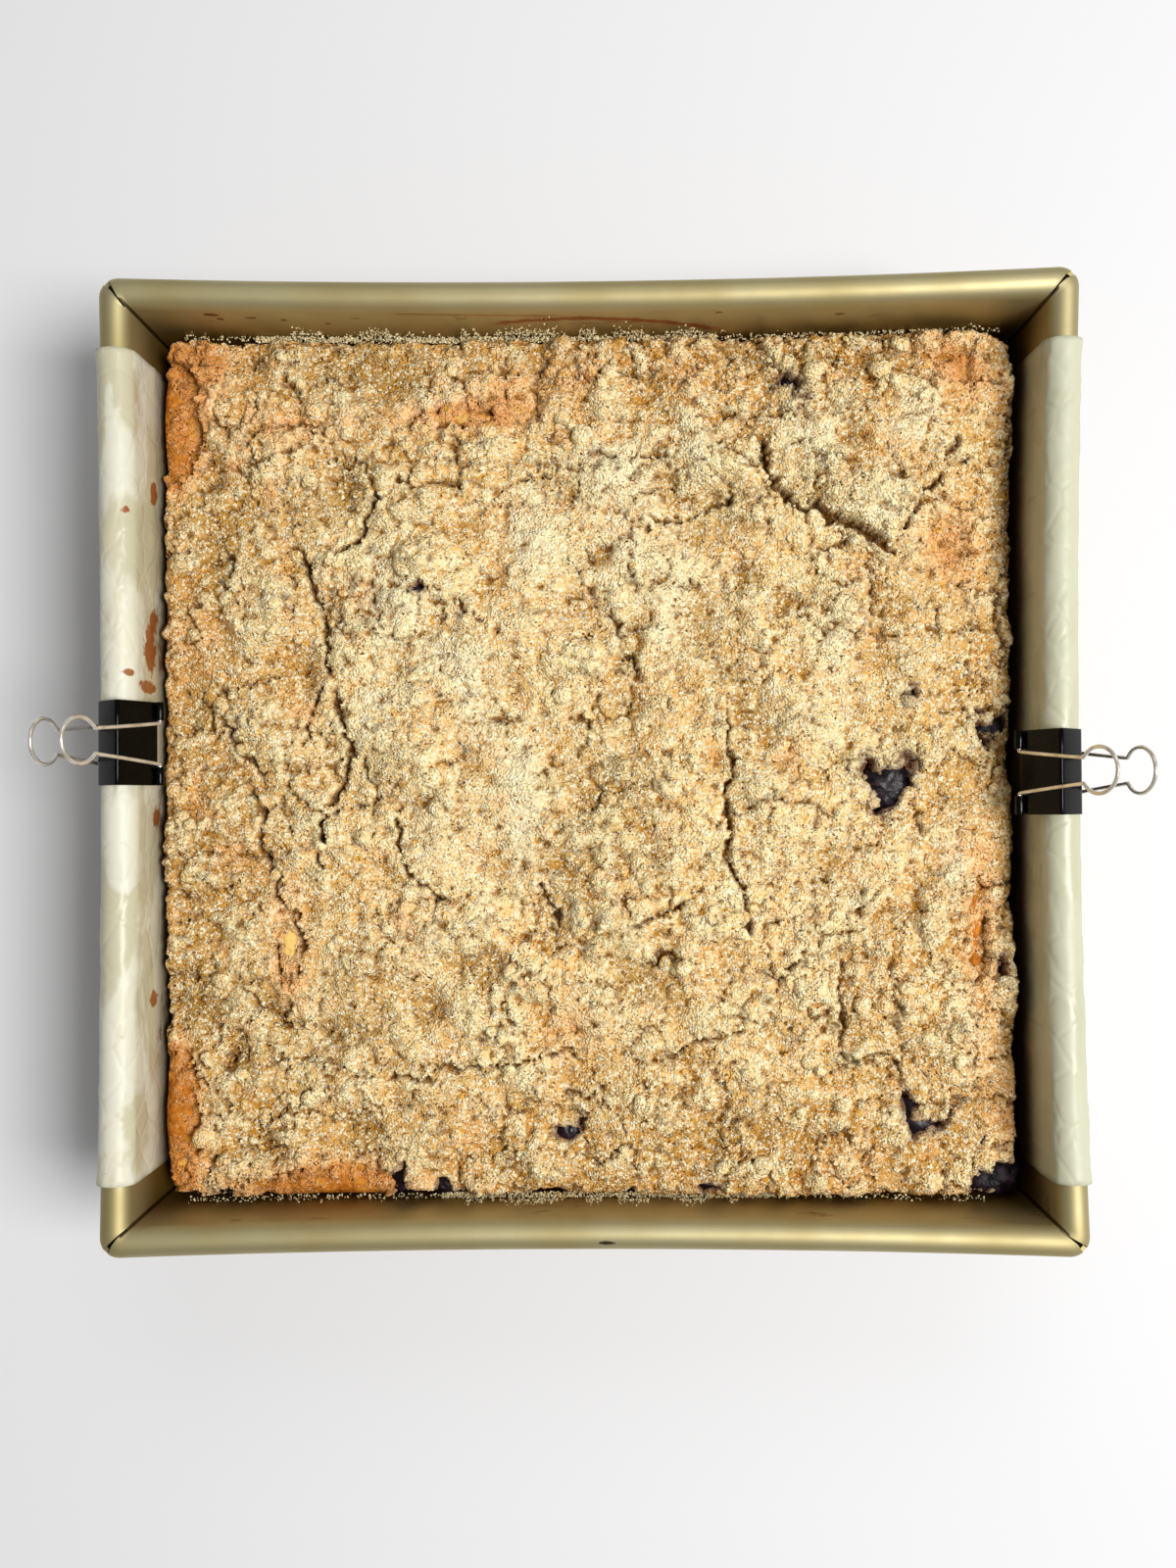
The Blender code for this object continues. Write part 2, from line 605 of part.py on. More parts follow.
def make_handle(side, name, pivot, collection, finish):
    """A bent wire: hooked into the tube, narrowing to a neck and ending in a round loop."""
    lean = math.radians(HANDLE_LEANS[side][name])
    up = Vector((math.sin(lean), math.cos(lean)))
    loop_centre = HANDLE_LENGTH - WIRE_RADIUS - HANDLE_LOOP
    opening = math.degrees(math.asin(HANDLE_NECK / HANDLE_LOOP))
    flat = [(HANDLE_FOOT + HANDLE_HOOK, 0), (HANDLE_FOOT, 0), (HANDLE_FOOT, 0.0006)]
    for i in range(LOOP_STEPS):
        turn = math.radians(180 - opening) * (1 - i / LOOP_STEPS)
        flat.append((HANDLE_LOOP * math.sin(turn), loop_centre + HANDLE_LOOP * math.cos(turn)))
    flat.append((0, loop_centre + HANDLE_LOOP))
    flat += [(-across, far) for across, far in reversed(flat[:-1])]
    curve = bpy.data.curves.new(f"clip_{side}_handle_{name}", "CURVE")
    curve.dimensions = "3D"
    curve.bevel_depth = WIRE_RADIUS
    curve.bevel_resolution = 2
    curve.use_fill_caps = True
    spline = curve.splines.new("POLY")
    spline.points.add(len(flat) - 1)
    place = clip_matrix(side)
    for point, (across, far) in zip(spline.points, flat):
        at = pivot + up * far
        point.co = (*(place @ Vector((at.x, across, at.y))), 1)
    curve.materials.append(finish)
    handle = bpy.data.objects.new(curve.name, curve)
    collection.objects.link(handle)


def main():
    clear_scene()
    parts = new_collection("crumb_coffee_cake")
    mitres = new_collection("mitre_cutters", hidden=True)
    finishes = {
        "tin": material("gold_tin", (0.71, 0.65, 0.50), 0.32, 1.0),
        "paper": material("parchment", (0.86, 0.84, 0.76), 0.45),
        "sponge": material("golden_sponge", (0.76, 0.55, 0.28), 0.75),
        "crumb": material("crumb", (0.86, 0.74, 0.54), 0.9),
        "berry": material("blueberry", (0.18, 0.13, 0.2), 0.35),
        "clip": material("black_clip", (0.04, 0.04, 0.035), 0.2),
        "wire": material("nickel_wire", (0.8, 0.78, 0.75), 0.2, 1.0),
    }
    make_tin(parts, mitres, finishes["tin"])
    make_sling(parts, finishes["paper"])
    make_cake(parts, finishes)
    for side in CLIP_PLACES:
        make_clip(side, parts, finishes)


main()
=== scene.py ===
import math

import bmesh
import bpy
import numpy as np
from mathutils import Matrix, Vector


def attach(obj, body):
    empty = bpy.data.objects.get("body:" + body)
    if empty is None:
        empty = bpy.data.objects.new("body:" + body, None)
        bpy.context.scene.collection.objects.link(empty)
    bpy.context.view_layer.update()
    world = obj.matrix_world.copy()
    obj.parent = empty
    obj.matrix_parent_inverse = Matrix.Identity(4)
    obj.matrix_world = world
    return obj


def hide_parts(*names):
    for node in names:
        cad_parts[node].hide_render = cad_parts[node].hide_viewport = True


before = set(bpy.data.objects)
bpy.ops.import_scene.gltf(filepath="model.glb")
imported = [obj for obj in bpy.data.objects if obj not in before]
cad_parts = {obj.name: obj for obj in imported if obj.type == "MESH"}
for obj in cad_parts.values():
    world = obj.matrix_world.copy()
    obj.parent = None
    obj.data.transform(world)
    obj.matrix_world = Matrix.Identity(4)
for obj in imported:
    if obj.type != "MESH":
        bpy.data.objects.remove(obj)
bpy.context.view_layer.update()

mm = 0.001
sides = ("right", "back", "left", "front")
bpy.context.scene.view_settings.view_transform = "Standard"


# Shader maths: a socket that adds its own Math nodes
class Wire:
    def __init__(self, finish, socket):
        self.finish, self.socket = finish, socket

    def maths(self, operation, first, second=None):
        values = {0: first} if second is None else {0: first, 1: second}
        return self.finish.add("Math", {"operation": operation}, values)

    def __add__(self, other):
        return self.maths("ADD", self, other)

    def __radd__(self, other):
        return self.maths("ADD", other, self)

    def __sub__(self, other):
        return self.maths("SUBTRACT", self, other)

    def __rsub__(self, other):
        return self.maths("SUBTRACT", other, self)

    def __mul__(self, other):
        return self.maths("MULTIPLY", self, other)

    def __rmul__(self, other):
        return self.maths("MULTIPLY", other, self)

    def __truediv__(self, other):
        return self.maths("DIVIDE", self, other)

    def __rtruediv__(self, other):
        return self.maths("DIVIDE", other, self)

    def __pow__(self, other):
        return self.maths("POWER", self, other)

    def __abs__(self):
        return self.maths("ABSOLUTE", self)

    def top(self, other):
        return self.maths("MAXIMUM", self, other)

    # 0 below low and 1 above high, with a smooth ramp between them
    def ramp(self, low, high, least=0.0, most=1.0):
        return self.finish.add("MapRange", {"interpolation_type": "SMOOTHSTEP"},
                               {0: self, 1: low, 2: high, 3: least, 4: most})


# A material: its shader, and one method that adds every other node
class Finish:
    def __init__(self, name, roughness=0.5, metallic=0.0, specular=0.5):
        self.material = bpy.data.materials.new(name)
        self.material.use_nodes = True
        self.tree = self.material.node_tree
        self.shader = self.tree.nodes["Principled BSDF"]
        self.set("Roughness", roughness)
        self.set("Metallic", metallic)
        self.set("Specular IOR Level", specular)
        self.place = self.add("TexCoord", output="Object")

    def set(self, name, value):
        if isinstance(value, Wire):
            self.tree.links.new(value.socket, self.shader.inputs[name])
        else:
            self.shader.inputs[name].default_value = value

    def add(self, kind, settings=None, sockets=None, output=0):
        made = self.tree.nodes.new("ShaderNode" + kind)
        for key, value in (settings or {}).items():
            setattr(made, key, value)
        for key, value in (sockets or {}).items():
            if isinstance(value, Wire):
                self.tree.links.new(value.socket, made.inputs[key])
            else:
                made.inputs[key].default_value = value
        return Wire(self, made.outputs[output])

    # noise from 0 to 1, with its size in millimetres
    def noise(self, size, detail=2.0, roughness=0.5, stretch=None, distortion=0.0):
        place = self.stretched(stretch) if stretch else self.place
        return self.add("TexNoise", None, {"Vector": place, "Scale": 1000 / size, "Detail": detail,
                                           "Roughness": roughness, "Distortion": distortion})

    def stretched(self, factors):
        return self.add("VectorMath", {"operation": "MULTIPLY"}, {0: self.place, 1: factors})

    def cells(self, size, feature="F1", output="Distance", jitter=1.0):
        return self.add("TexVoronoi", {"feature": feature},
                        {"Vector": self.place, "Scale": 1000 / size, "Randomness": jitter}, output)

    def mix(self, factor, first, second):
        return self.add("Mix", {"data_type": "RGBA", "clamp_factor": True},
                        {0: factor, 6: first, 7: second}, 2)

    def split(self, colour, axis):
        return self.add("SeparateXYZ", None, {0: colour}, axis)

    # 1 at a place and 0 beyond its two half sizes, all in millimetres, with an edge roughened by noise
    def spot(self, across, up, place, sizes, rough):
        far = ((across - place[0]) / sizes[0]) ** 2 + ((up - place[1]) / sizes[1]) ** 2
        return (far + (rough - 0.5) * 2.4).ramp(0.55, 1.0, 1.0, 0.0)

    def marks(self, name):
        return [self.add("SeparateColor", None, {0: self.add("Attribute", {"attribute_name": name})}, k)
                for k in range(3)]

    def bump(self, height, distance, strength=1.0, under=None):
        sockets = {"Height": height, "Distance": distance, "Strength": strength}
        if under:
            sockets["Normal"] = under
        return self.add("Bump", None, sockets)


# An sRGB colour, 0 to 255, as a shader colour
def paint(red, green, blue):
    def linear(level):
        level /= 255
        return ((level + 0.055) / 1.055) ** 2.4 if level > 0.04045 else level / 12.92
    return (linear(red), linear(green), linear(blue), 1)


# Repeatable noise on arrays of places in millimetres
def chance(i, j, seed):
    n = (i * 374761393 + j * 668265263 + seed * 974634777) & 0xffffffff
    n = ((n ^ (n >> 13)) * 1274126177) & 0xffffffff
    return ((n ^ (n >> 16)) & 0xffffff) / 0xffffff


def softNoise(x, y, cell, seed):
    u, v = x / cell, y / cell
    i, j = np.floor(u).astype(np.int64), np.floor(v).astype(np.int64)
    a, b = u - i, v - j
    a, b = a * a * (3 - 2 * a), b * b * (3 - 2 * b)
    near = chance(i, j, seed) * (1 - a) + chance(i + 1, j, seed) * a
    far = chance(i, j + 1, seed) * (1 - a) + chance(i + 1, j + 1, seed) * a
    return 2 * (near * (1 - b) + far * b) - 1


def roughNoise(x, y, cell, seed, octaves=3):
    total = 0
    for k in range(octaves):
        turn = 0.6 + 1.1 * k
        u = x * math.cos(turn) - y * math.sin(turn)
        v = x * math.sin(turn) + y * math.cos(turn)
        total = total + softNoise(u, v, cell / 2 ** k, seed + 17 * k) / 2 ** k
    return total


# Distance to the nearest and the second nearest point of a jittered grid, and that point's own number
def lumpCells(x, y, cell, seed):
    u, v = x / cell, y / cell
    i, j = np.floor(u).astype(np.int64), np.floor(v).astype(np.int64)
    first, second, number = np.full(x.shape, 9.0), np.full(x.shape, 9.0), np.zeros(x.shape)
    for di in (-1, 0, 1):
        for dj in (-1, 0, 1):
            ci, cj = i + di, j + dj
            px = ci + 0.15 + 0.7 * chance(ci, cj, seed)
            py = cj + 0.15 + 0.7 * chance(ci, cj, seed + 1)
            far = np.hypot(u - px, v - py)
            closer = far < first
            second = np.where(closer, first, np.minimum(second, far))
            number = np.where(closer, chance(ci, cj, seed + 2), number)
            first = np.where(closer, far, first)
    return first, second, number


def smoothStep(value, low, high):
    t = np.clip((value - low) / (high - low), 0, 1)
    return t * t * (3 - 2 * t)


# Distance from each place to a route of straight pieces, and how far along it that is, 0 to 1
def routeDistance(x, y, route):
    nearest, along = np.full(x.shape, 1e9), np.zeros(x.shape)
    count = len(route) - 1
    for k, ((ax, ay), (bx, by)) in enumerate(zip(route, route[1:])):
        dx, dy = bx - ax, by - ay
        t = np.clip(((x - ax) * dx + (y - ay) * dy) / (dx * dx + dy * dy), 0, 1)
        far = np.hypot(x - ax - t * dx, y - ay - t * dy)
        along = np.where(far < nearest, (k + t) / count, along)
        nearest = np.minimum(nearest, far)
    return nearest, along


# Meshes, and how pieces join the object
def makeMesh(name, points, faces, finish, smooth=True):
    mesh = bpy.data.meshes.new(name)
    mesh.from_pydata(np.asarray(points, float).reshape(-1, 3).tolist(), [], faces)
    mesh.materials.append(finish.material)
    if smooth:
        mesh.shade_smooth()
    made = bpy.data.objects.new(name, mesh)
    bpy.context.scene.collection.objects.link(made)
    return made


def join(piece, slot, *nodes):
    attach(piece, "root")
    if nodes:
        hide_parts(*nodes)


def mark(piece, name, columns):
    layer = piece.data.attributes.new(name, "FLOAT_COLOR", "POINT")
    values = np.ones((len(piece.data.vertices), 4), np.float32)
    for k, column in enumerate(columns):
        values[:, k] = column
    layer.data.foreach_set("color", values.ravel())


def gridFaces(rows, columns):
    i, j = np.meshgrid(np.arange(rows - 1), np.arange(columns - 1), indexing="ij")
    a = (i * columns + j).ravel()
    return np.stack([a, a + columns, a + columns + 1, a + 1], 1).tolist()


def ringFaces(first, second, count, start=0):
    near, ahead = np.arange(count), (np.arange(count) + 1) % count
    return (np.stack([first + near, first + ahead, second + ahead, second + near], 1) + start).tolist()


# The tin's square, which the paper and the cake follow
tin = {
    "baseHalf": 101.5, "rimHalf": 103.8, "rollRadius": 3.6, "rollHeight": 53.0, "sheet": 0.8,
    "bend": 3.0, "wallCorner": 0.6, "rollCorner": 4.5, "rollTurn": 315,
    "bow": {"right": 1.9, "back": 2.0, "left": 1.0, "front": 1.9},
    "sideSteps": 30, "cornerSteps": 7, "rollSteps": 26, "wallSteps": 8,
    "mitreStart": 0.6, "mitreFoot": 0.15, "mitreWander": 0.45,
    "mitreWidths": (0.5, 0.35, 0.7, 1.5, 1.0, 0.7, 0.5),
    # oil and painted shade fade out between these heights, and drips of oil start and end between these
    "oilAndShade": (36, 54), "dripStart": (43, 46), "dripEnd": (51.5, 53.5),
    # the tide mark on the back wall: a thin line, then a thicker one that rises and falls
    "thinLine": {"up": 53.4, "slope": -0.035, "start": (-46, -41), "end": (-12, 0)},
    "thickLine": {"up": 50.2, "half": 26, "fall": 5.5, "start": (-24, -18), "end": (26, 36)},
    # baked-on spots on the back wall and roll: across, up, half sizes
    "spots": (
        (-86, 51.5, 2.0, 1.0), (-84.5, 49, 1.0, 0.8), (-77.2, 50, 1.6, 0.7), (-70, 49, 0.9, 0.7),
        (58, 49.5, 1.3, 0.7), (-60, 47, 0.8, 0.6), (30, 52.6, 1.0, 0.5),
    ),
    "scuff": ((3.5, -106.9), (2.0, 0.5)),
}


def wallHalf(z):
    return tin["baseHalf"] + (tin["rimHalf"] - tin["baseHalf"]) * z / tin["rollHeight"]


def bow(side, u, z):
    return tin["bow"][side] * np.minimum(z / tin["rollHeight"], 1) * (1 - u * u)


def squareRing(z, corner, half):
    points = []
    steps, turns = tin["sideSteps"], tin["cornerSteps"]
    for k, side in enumerate(sides):
        out = Vector((math.cos(k * math.pi / 2), math.sin(k * math.pi / 2)))
        along = Vector((-out.y, out.x))
        for i in range(steps + 1):
            u = 2 * i / steps - 1
            points.append(out * (half - bow(side, u, z)) + along * u * (half - corner))
        centre = (out + along) * (half - corner)
        for i in range(1, turns):
            turn = math.pi / 2 * i / turns
            points.append(centre + corner * (out * math.cos(turn) + along * math.sin(turn)))
    return [(p.x * mm, p.y * mm, z * mm) for p in points]


def arc(out, up, radius, first, last, steps):
    turns = [math.radians(first + (last - first) * i / steps) for i in range(steps + 1)]
    return [(out + radius * math.cos(t), up + radius * math.sin(t)) for t in turns]


# The sheet's two faces as one outline: inside from the floor over the roll, then back along the outside
def tinProfile():
    bend, sheet, radius = tin["bend"], tin["sheet"], tin["rollRadius"]
    floorOut = tin["baseHalf"] - bend
    rollOut = tin["rimHalf"] + radius
    inside = arc(floorOut, sheet + bend, bend, -90, 0, 5)
    outside = arc(floorOut, sheet + bend, bend + sheet, -90, 0, 5)
    for path, shift in ((inside, 0), (outside, sheet)):
        for k in range(1, tin["wallSteps"]):
            z = (sheet + bend) + (tin["rollHeight"] - sheet - bend) * k / tin["wallSteps"]
            path.append((wallHalf(z) + shift, z))
    roll = arc(rollOut, tin["rollHeight"], radius, 180, 180 - tin["rollTurn"], tin["rollSteps"])
    under = arc(rollOut, tin["rollHeight"], radius - sheet, 180, 180 - tin["rollTurn"], tin["rollSteps"])
    return inside + roll + (outside + under)[::-1]


def makeTin(finish):
    profile = tinProfile()
    rings, faces = [], []
    for out, up in profile:
        beyond = min(max(out - tin["rimHalf"], 0) / (2 * tin["rollRadius"]), 1)
        corner = tin["wallCorner"] + (tin["rollCorner"] - tin["wallCorner"]) * beyond
        rings.append(squareRing(up, corner, out))
    count = len(rings[0])
    for k in range(len(rings) - 1):
        faces += ringFaces(k * count, (k + 1) * count, count)
    faces.append(list(range(count))[::-1])
    faces.append(list(range((len(rings) - 1) * count, len(rings) * count)))
    made = makeMesh("bakingTin", [p for ring in rings for p in ring], faces, finish)
    fixNormals(made)
    cutMitres(made)
    made.data.set_sharp_from_angle(angle=math.radians(40))
    join(made, "tin", "tin")


def fixNormals(piece):
    bm = bmesh.new()
    bm.from_mesh(piece.data)
    bmesh.ops.recalc_face_normals(bm, faces=bm.faces)
    bm.to_mesh(piece.data)
    bm.free()


# A slit across the roll at each corner, where the folded sides meet: narrow inside, an open lens over the top
def cutMitres(made):
    start = math.hypot(tin["rimHalf"], tin["rimHalf"]) + tin["mitreStart"]
    end = math.hypot(1, 1) * (tin["rimHalf"] + 2 * tin["rollRadius"]) + tin["rollRadius"]
    low = tin["rollHeight"] + tin["mitreFoot"] * tin["rollRadius"]
    high = tin["rollHeight"] + 2 * tin["rollRadius"]
    widths = tin["mitreWidths"]
    bm = bmesh.new()
    for k in range(4):
        turn = Matrix.Rotation(math.radians(45 + 90 * k), 3, "Z")
        outline = []
        for side in (1, -1):
            edge = []
            for i, width in enumerate(widths):
                t = i / (len(widths) - 1)
                wander = tin["mitreWander"] * math.sin(6 * t + 1.7 * k)
                edge.append((start + (end - start) * t, wander + side * width / 2))
            outline += edge if side > 0 else edge[::-1]
        bottom = [bm.verts.new(turn @ Vector((x * mm, y * mm, low * mm))) for x, y in outline]
        top = [bm.verts.new(turn @ Vector((x * mm, y * mm, high * mm))) for x, y in outline]
        bm.faces.new(bottom[::-1])
        bm.faces.new(top)
        for i in range(len(outline)):
            j = (i + 1) % len(outline)
            bm.faces.new((bottom[i], bottom[j], top[j], top[i]))
    bmesh.ops.recalc_face_normals(bm, faces=bm.faces)
    mesh = bpy.data.meshes.new("mitres")
    bm.to_mesh(mesh)
    bm.free()
    cutter = bpy.data.objects.new("mitres", mesh)
    bpy.context.scene.collection.objects.link(cutter)
    cut = made.modifiers.new("mitres", "BOOLEAN")
    cut.operation, cut.object, cut.solver = "DIFFERENCE", cutter, "EXACT"
    keepModifiers(made)
    bpy.data.objects.remove(cutter, do_unlink=True)


def keepModifiers(piece):
    graph = bpy.context.evaluated_depsgraph_get()
    piece.data = bpy.data.meshes.new_from_object(piece.evaluated_get(graph))
    piece.modifiers.clear()


def tinFinish():
    gold = Finish("satinGold", roughness=0.34, metallic=0.88)
    x, y, z = (gold.split(gold.place, k) for k in range(3))
    cloud = gold.noise(26, detail=3)
    base = gold.mix(cloud.ramp(0.35, 0.7), paint(184, 174, 134), paint(174, 160, 114))
    # oil baked on below the roll, with painted shade that darkens the inside towards the bottom, and drips of
    # oil on the back wall
    normal = gold.add("NewGeometry", output="Normal")
    facing = gold.add("VectorMath", {"operation": "DOT_PRODUCT"}, {0: normal, 1: gold.place}, "Value")
    inside = facing.ramp(-0.06, -0.02, 1.0, 0.0)
    wide, high = x * 1000, z * 1000
    low = high.ramp(*tin["oilAndShade"], 1.0, 0.0) * inside
    base = gold.mix(low * 0.9, base, paint(134, 100, 18))
    drips = gold.noise(7, detail=4, roughness=0.6, stretch=(0.35, 0.35, 1.0), distortion=0.6)
    spots = drips.ramp(0.60, 0.66) * high.ramp(*tin["dripStart"]) * (1 - high.ramp(*tin["dripEnd"])) * inside
    base = gold.mix(spots * 0.5, base, paint(122, 70, 22))
    rough = gold.noise(2.6, detail=3, roughness=0.6)
    back = (y * 1000).ramp(96, 99) * facing.ramp(-0.02, 0.05, 1.0, 0.0)
    shaky = rough * 1.6 - 0.8
    line = tin["thinLine"]
    thin = high - line["up"] - (wide + 44) * line["slope"] + shaky * 0.5
    thin = abs(thin).ramp(0.15, 0.55, 1.0, 0.0)
    thin = thin * wide.ramp(*line["start"]) * wide.ramp(*line["end"], 1.0, 0.0)
    line = tin["thickLine"]
    hill = (wide + 2) / line["half"]
    thick = high - line["up"] + hill * hill * line["fall"] + shaky * 1.6
    thick = abs(thick).ramp(0.5, 1.6, 1.0, 0.0)
    thick = thick * wide.ramp(*line["start"]) * wide.ramp(*line["end"], 1.0, 0.0)
    base = gold.mix(thin * back * 0.7, base, paint(150, 96, 22))
    base = gold.mix(thick * back * 0.85, base, paint(142, 70, 12))
    for across, up, half, tall in tin["spots"]:
        stain = gold.spot(wide, high, (across, up), (half, tall), rough)
        base = gold.mix(stain * back * 0.85, base, paint(110, 52, 12))
    scuff = gold.spot(wide, y * 1000, *tin["scuff"], rough)
    base = gold.mix(scuff * 0.9, base, paint(40, 32, 18))
    seam = 1 - (abs(abs(x) - abs(y)) * 1000).ramp(0.35, 0.75)
    wall = (abs(x).top(abs(y)) * 1000).ramp(105.4, 105.9, 1.0, 0.0)
    base = gold.mix(seam * wall * 0.9, base, paint(50, 34, 12))
    gold.set("Base Color", base)
    gold.set("Roughness", cloud.ramp(0.3, 0.75, 0.54, 0.64) + spots * 0.1)
    dents = gold.bump(gold.noise(9, detail=2), 0.0003, 0.25)
    gold.set("Normal", gold.bump(gold.noise(0.35, detail=2), 0.00003, 0.35, under=dents))
    return gold


# Parchment under the cake, over the left and right rims
sheetOfPaper = {
    "halfWidth": 94.2, "gap": 0.25, "thickness": 0.25, "flapDrop": 10.0,
    "stations": 150, "floorSteps": 8, "bendSteps": 4, "wallSteps": 34, "rollSteps": 22, "flapSteps": 6,
    "crease": 0.16, "creaseSize": 11.0, "creaseWidth": 0.10, "ripple": 0.10, "curl": 0.35, "curlWidth": 5,
    # stains on each wall: along the side, up, half sizes
    "left": {"strength": 0.95, "colour": (142, 76, 20), "stains": (
        (57.6, 56.2, 0.9, 0.8), (21.0, 56.0, 0.9, 1.0), (27, 45.5, 6.0, 4.6), (18.4, 47, 1.6, 6.0),
        (34, 43, 3.0, 3.0), (-12, 42, 3.0, 2.4), (-54, 43, 2.2, 2.6), (64, 42.5, 3.0, 2.4),
    )},
    "right": {"strength": 0.7, "colour": (128, 88, 38), "stains": (
        (60, 46, 0.6, 5), (38, 45, 0.5, 6), (-28, 47, 0.7, 5), (-60, 45, 0.6, 6),
        (80, 46, 0.8, 4), (-40, 44, 1.2, 5),
    )},
}


def makePaper(finish):
    gap, radius = sheetOfPaper["gap"], tin["rollRadius"]
    floorOut = tin["baseHalf"] - tin["bend"]
    steps = sheetOfPaper["floorSteps"]
    half = [(floorOut * k / steps, tin["sheet"] + gap) for k in range(steps)]
    half += arc(floorOut, tin["sheet"] + tin["bend"], tin["bend"] - gap, -90, 0, sheetOfPaper["bendSteps"])
    steps = sheetOfPaper["wallSteps"]
    for k in range(1, steps):
        z = tin["sheet"] + tin["bend"] + (tin["rollHeight"] - tin["sheet"] - tin["bend"]) * k / steps
        half.append((wallHalf(z) - gap, z))
    half += arc(tin["rimHalf"] + radius, tin["rollHeight"], radius + gap, 180, 0, sheetOfPaper["rollSteps"])
    steps = sheetOfPaper["flapSteps"]
    half += [(tin["rimHalf"] + 2 * radius + gap, tin["rollHeight"] - sheetOfPaper["flapDrop"] * k / steps)
             for k in range(1, steps + 1)]
    half = np.array(half)
    steps = np.gradient(half, axis=0)
    length = np.hypot(steps[:, 0], steps[:, 1])
    outward = np.stack([-steps[:, 1], steps[:, 0]], 1) / length[:, None]  # away from the tin
    travel = np.concatenate([[0], np.cumsum(np.hypot(*np.diff(half, axis=0).T))])
    rows = []
    for y in np.linspace(-1, 1, sheetOfPaper["stations"]) * sheetOfPaper["halfWidth"]:
        line = []
        for sign, side in ((-1, "left"), (1, "right")):
            across = sign * travel
            along = y + 0 * across
            crease, second, _ = lumpCells(across + 3 * roughNoise(across, along, 9, 5), along,
                                          sheetOfPaper["creaseSize"], 31)
            ridge = np.exp(-((second - crease) / sheetOfPaper["creaseWidth"]) ** 2) * sheetOfPaper["crease"]
            waves = 1 + softNoise(across, along, 5, 33)
            ripple = sheetOfPaper["ripple"] * waves * smoothStep(half[:, 1], 8, 20)
            halfWidth = sheetOfPaper["halfWidth"]
            edge = smoothStep(abs(along), halfWidth - sheetOfPaper["curlWidth"], halfWidth)
            lift = ridge + ripple + edge * sheetOfPaper["curl"] * smoothStep(half[:, 1], 30, 50)
            lift = lift * smoothStep(travel, 90, 100)
            place = half + outward * lift[:, None]
            out = place[:, 0] - bow(side, y / tin["baseHalf"], place[:, 1])
            points = np.stack([sign * out, y + 0 * out, place[:, 1]], 1)
            line.append(points[::-1] if sign < 0 else points[1:])
        rows.append(np.concatenate(line))
    points = np.array(rows) * mm
    made = makeMesh("parchment", points, gridFaces(points.shape[0], points.shape[1]), finish)
    thick = made.modifiers.new("thickness", "SOLIDIFY")
    thick.thickness = sheetOfPaper["thickness"] * mm
    thick.offset = 1 if max(made.data.polygons, key=lambda face: face.area).normal.z > 0 else -1
    keepModifiers(made)
    join(made, "parchment", "parchment_sling")


def paperFinish():
    paper = Finish("parchmentPaper", roughness=0.42, specular=0.4)
    x, y, z = (paper.split(paper.place, k) * 1000 for k in range(3))
    patch = paper.noise(17, detail=4, roughness=0.62, stretch=(1.0, 0.55, 1.0), distortion=0.4)
    soaked = patch.ramp(0.47, 0.56)
    base = paper.mix(soaked, paint(210, 208, 190), paint(190, 185, 158))
    streak = paper.noise(4.5, detail=3, stretch=(1, 0.25, 1))
    base = paper.mix(streak.ramp(0.5, 0.75) * 0.35, base, paint(214, 206, 176))
    # painted shade: the paper on the walls darker towards the bottom
    inner = z.ramp(36, 50, 1.0, 0.0)
    base = paper.mix(inner * 0.5, base, paint(160, 140, 98))
    spots = paper.noise(6, detail=3, roughness=0.6).ramp(0.70, 0.75)
    spots = spots + 0.9 * paper.noise(2.2, detail=2).ramp(0.745, 0.78)
    base = paper.mix(spots * 0.35, base, paint(172, 108, 46))
    rough = paper.noise(2.2, detail=3, roughness=0.6)
    for side, sign in (("left", -1), ("right", 1)):
        here = (x * sign).ramp(60, 80) * (x * sign).ramp(105.4, 106.2, 1.0, 0.0)
        wall = sheetOfPaper[side]
        for along, up, half, tall in wall["stains"]:
            stain = paper.spot(y, z, (along, up), (half, tall), rough)
            base = paper.mix(stain * here * wall["strength"], base, paint(*wall["colour"]))
    juice = paper.noise(11, detail=5, roughness=0.65, stretch=(1, 0.6, 1)).ramp(0.58, 0.66)
    base = paper.mix(juice * z.ramp(38, 45, 1.0, 0.0) * 0.85, base, paint(120, 62, 18))
    # painted shade on the right: that half of the sheet greyer, and its wall darker still towards the bottom
    base = paper.mix(x.ramp(-60, 60) * 0.8, base, paint(184, 185, 158))
    base = paper.mix(x.ramp(-60, 60) * inner * 0.85, base, paint(112, 82, 34))
    # painted shade low in the gap beside the cake: the paper nearly black there
    base = paper.mix(z.ramp(34, 43, 0.75, 0.0), base, paint(52, 30, 10))
    paper.set("Base Color", base)
    paper.set("Roughness", soaked * -0.12 + 0.46)
    fine = paper.bump(paper.noise(1.1, detail=3), 0.00006, 0.4)
    folds = paper.cells(8, feature="DISTANCE_TO_EDGE").ramp(0.0, 0.12)
    paper.set("Normal", paper.bump(folds, 0.0002, 0.35, under=fine))
    return paper


